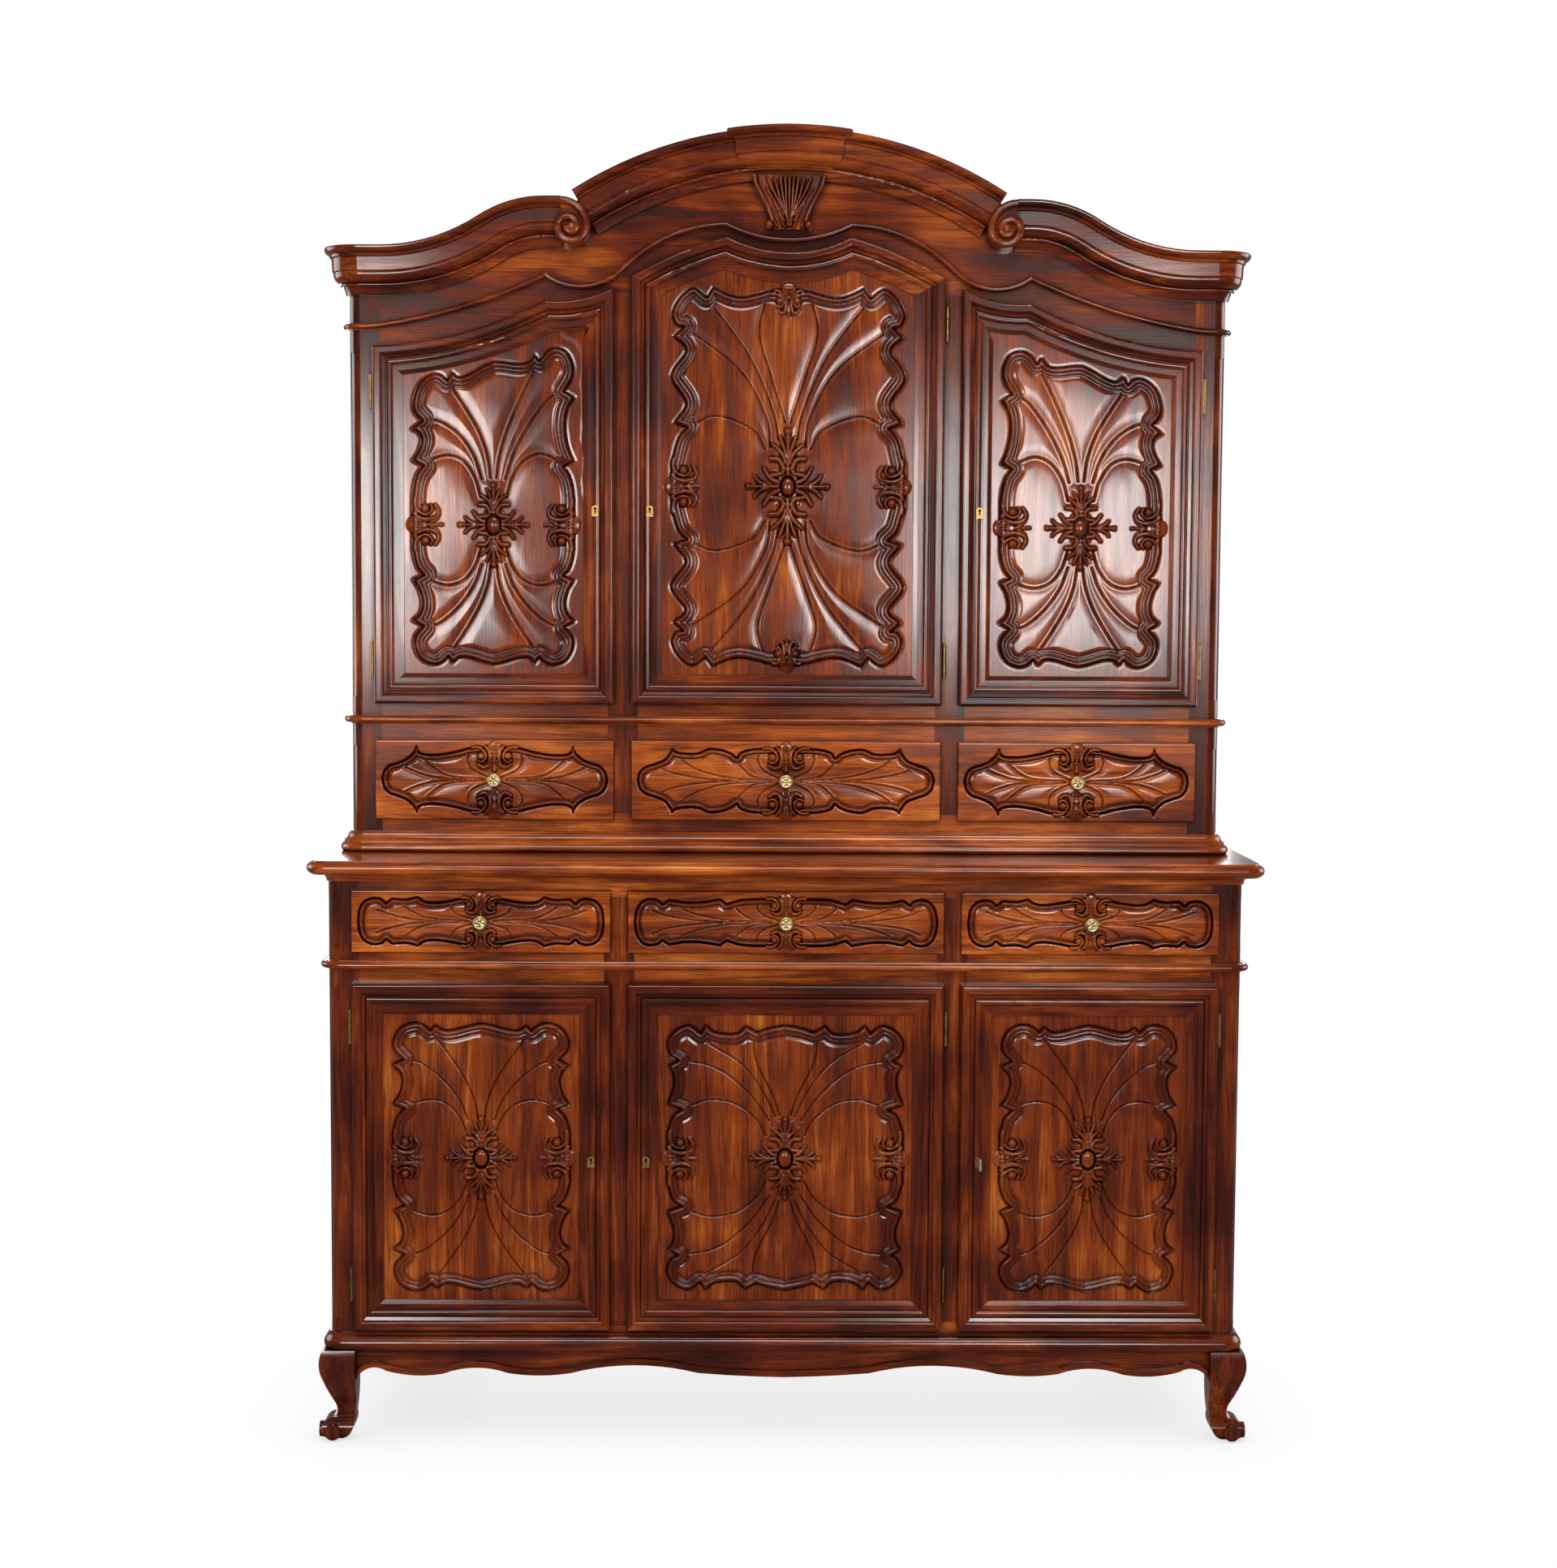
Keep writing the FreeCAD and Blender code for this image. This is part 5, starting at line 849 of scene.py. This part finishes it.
def corbel_leaf():
    """The corbel with scrolled sides and an acanthus leaf between them."""
    low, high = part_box("corbel")
    half, tall = (high[0] - low[0]) / 2, high[2] - low[2]
    sides = through(CORBEL_SIDES, CORBEL_GRID / tall)
    up = np.linspace(0, 1, int(tall / CORBEL_GRID) + 1)[:, None]
    across = np.linspace(-1, 1, int(2 * half / CORBEL_GRID) + 1)[None, :]
    x = (low[0] + high[0]) / 2 + across * half * np.interp(up, sides[:, 0], sides[:, 1])
    z = low[2] + up * tall + 0 * across
    height = CORBEL_FOOT + (CORBEL_HEAD - CORBEL_FOOT) * up ** 2 + 0 * across
    height += tubes(np.abs(x), z - low[2], CORBEL_LEAF)
    piece = board_of("corbel_carved", x, z, height, np.zeros(x.shape), high[1], high[1])
    smoothed(piece.data)
    dress(piece, "cupboard", "carcass_walnut", walnut_leaf, "corbel")


# Knob faces: a flower in a ring

KNOB_FACE_SHARE = .86
KNOB_FACE_RISE = 1.3 * MM
KNOB_RINGS = 14
KNOB_TURNS = 60
PETALS = 5
# Middle and reach in shares of the face's radius, and rise in shares of the full rise
PETAL_SHARES = (.48, .3, .9)
BOSS_SHARES = (0, .2, 1)
RING_SHARES = (.88, .12, .95)


def knob_face(tier, bay):
    """A low relief on the end of a knob: a flower with a boss, inside a ring."""
    low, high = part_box(f"{tier}_{bay}_drawer_knob")
    radius = KNOB_FACE_SHARE * (high[0] - low[0]) / 2
    middle_x, middle_z = (low[0] + high[0]) / 2, (low[2] + high[2]) / 2
    share = np.linspace(0, 1, KNOB_RINGS + 1)[1:, None]
    angle = np.linspace(0, 2 * math.pi, KNOB_TURNS, endpoint=False)[None, :]
    waves = (np.abs(np.cos(angle * PETALS / 2)), 1, 1)
    level = 0
    for wave, (middle, reach, rise) in zip(waves, (PETAL_SHARES, BOSS_SHARES, RING_SHARES)):
        level = np.maximum(level, rise * wave * dome(share - middle, reach))
    front = low[1] - KNOB_FACE_RISE * level
    ring = np.stack([middle_x + radius * share * np.sin(angle), front,
                     middle_z + radius * share * np.cos(angle)], axis=-1)
    points = np.vstack([[(middle_x, low[1] - KNOB_FACE_RISE, middle_z)], ring.reshape(-1, 3)])
    faces = [(0, 1 + turn, 1 + (turn + 1) % KNOB_TURNS) for turn in range(KNOB_TURNS)]
    for step in range(KNOB_RINGS - 1):
        first = 1 + step * KNOB_TURNS
        for turn in range(KNOB_TURNS):
            after = (turn + 1) % KNOB_TURNS
            faces.append((first + turn, first + KNOB_TURNS + turn, first + KNOB_TURNS + after, first + after))
    faces.append(tuple(range(len(points) - 1, len(points) - 1 - KNOB_TURNS, -1)))
    mesh = bpy.data.meshes.new(f"{tier}_{bay}_knob_face")
    mesh.from_pydata(points.tolist(), [], faces)
    mesh.update()
    smoothed(mesh)
    piece = linked(mesh.name, mesh)
    dress(piece, f"{tier}_{bay}_drawer", "brass", brass_finish)


for each_tier in TIERS:
    for each_bay in BAYS:
        door_panel(each_tier, each_bay)
        drawer_front(each_tier, each_bay)
        knob_face(each_tier, each_bay)
corbel_leaf()

# Floor, background, light and camera

FLOOR_HALF = 14
FLOOR_GREY = .7
FLOOR_ROUGHNESS = .9
WHITE = 1
WHITE_IN_GLOSS = .25
WORLD_LIGHT = .1
# Painted shadow on the floor: its darkest level, its reach and its samples
SHADOW = .72
SHADOW_REACH = .3
SHADOW_SAMPLES = 8
# Soft boxes: place, width, height and power
SOFT_BOXES = {
    "left_box": ((-1.55, -4.4, 1.82), .8, .85, 70),
    "right_box": ((1.05, -4.4, 1.82), .95, .85, 80),
    "top_box": ((0, -3.0, 4.4), 2.4, 1.0, 115),
    "left_side_box": ((-4.4, .8, 2.0), 2.6, 2.2, 110),
    "right_side_box": ((4.4, .8, 2.0), 2.6, 2.2, 110),
    "back_box": ((0, 4.6, 2.4), 3.6, 2.2, 130),
}
AIM = (0, 0, 1.4)
CAMERA_PLACE = (-.0716, -4.767, 1.576)
CAMERA_YAW = math.radians(.707)
CAMERA_PITCH = math.radians(-4.169)
CAMERA_ROLL = math.radians(.317)
CAMERA_LENS = 56.25
CAMERA_SENSOR = 36


def white_level(tree):
    """How white the surroundings look: wholly to the camera and through glass, softly in a polish."""
    path = add(tree, "ShaderNodeLightPath")
    gloss = maths(tree, "MULTIPLY", path.outputs["Is Glossy Ray"], WHITE_IN_GLOSS)
    clear = maths(tree, "MAXIMUM", path.outputs["Is Camera Ray"], path.outputs["Is Transmission Ray"])
    seen = maths(tree, "MAXIMUM", path.outputs["Is Glossy Ray"], clear)
    return seen, maths(tree, "MAXIMUM", gloss, clear)


def white_floor():
    """A pale floor that the camera sees as plain white, but for a painted soft shadow under the object."""
    mesh = bpy.data.meshes.new("floor")
    mesh.from_pydata([(-FLOOR_HALF, -FLOOR_HALF, 0), (FLOOR_HALF, -FLOOR_HALF, 0), (FLOOR_HALF, FLOOR_HALF, 0),
                      (-FLOOR_HALF, FLOOR_HALF, 0)], [], [(0, 1, 2, 3)])
    floor = linked("floor", mesh)
    material, tree, shader = node_tree("floor")
    shader.inputs["Base Color"].default_value = (*grey(FLOOR_GREY), 1)
    shader.inputs["Roughness"].default_value = FLOOR_ROUGHNESS
    seen, level = white_level(tree)
    # Painted shadow: the white that the camera sees darkens where the object hems the floor in
    near = add(tree, "ShaderNodeAmbientOcclusion", {"Distance": SHADOW_REACH},
               samples=SHADOW_SAMPLES).outputs["AO"]
    shade = ramp(tree, near, [(.1, grey(SHADOW)), (.9, grey(WHITE))])
    glow = add(tree, "ShaderNodeEmission", {"Color": shade, "Strength": level})
    blend = add(tree, "ShaderNodeMixShader", {0: seen, 1: shader.outputs["BSDF"], 2: glow.outputs["Emission"]})
    tree.links.new(blend.outputs["Shader"], tree.nodes["Material Output"].inputs["Surface"])
    mesh.materials.append(material)


def studio_world():
    """Plain surrounding light that the camera sees as white."""
    world = bpy.data.worlds.new("studio")
    world.use_nodes = True
    tree = world.node_tree
    seen, level = white_level(tree)
    background = tree.nodes["Background"]
    background.inputs["Color"].default_value = (*grey(WHITE), 1)
    tree.links.new(maths(tree, "MAXIMUM", level, WORLD_LIGHT), background.inputs["Strength"])
    bpy.context.scene.world = world


def soft_box(name, place, width, height, power):
    """A soft lamp that faces the object and that the camera doesn't see."""
    light = bpy.data.lights.new(name, "AREA")
    light.shape = "RECTANGLE"
    light.size = width
    light.size_y = height
    light.energy = power
    lamp = linked(name, light)
    lamp.location = place
    lamp.visible_camera = False
    lamp.rotation_euler = (Vector(AIM) - Vector(place)).to_track_quat("-Z", "Y").to_euler()


white_floor()
studio_world()
for box_name, box in SOFT_BOXES.items():
    soft_box(box_name, *box)

ahead = Vector((math.sin(CAMERA_YAW) * math.cos(CAMERA_PITCH), math.cos(CAMERA_YAW) * math.cos(CAMERA_PITCH),
                math.sin(CAMERA_PITCH)))
sideways = Vector((math.cos(CAMERA_YAW), -math.sin(CAMERA_YAW), 0))
upright = sideways.cross(ahead)
right = math.cos(CAMERA_ROLL) * sideways + math.sin(CAMERA_ROLL) * upright
up = math.cos(CAMERA_ROLL) * upright - math.sin(CAMERA_ROLL) * sideways
camera_data = bpy.data.cameras.new("camera")
camera_data.lens = CAMERA_LENS
camera_data.sensor_width = CAMERA_SENSOR
camera = linked("camera", camera_data)
camera.matrix_world = Matrix.Translation(CAMERA_PLACE) @ Matrix((right, up, -ahead)).transposed().to_4x4()
bpy.context.scene.camera = camera
bpy.context.scene.view_settings.view_transform = "Standard"
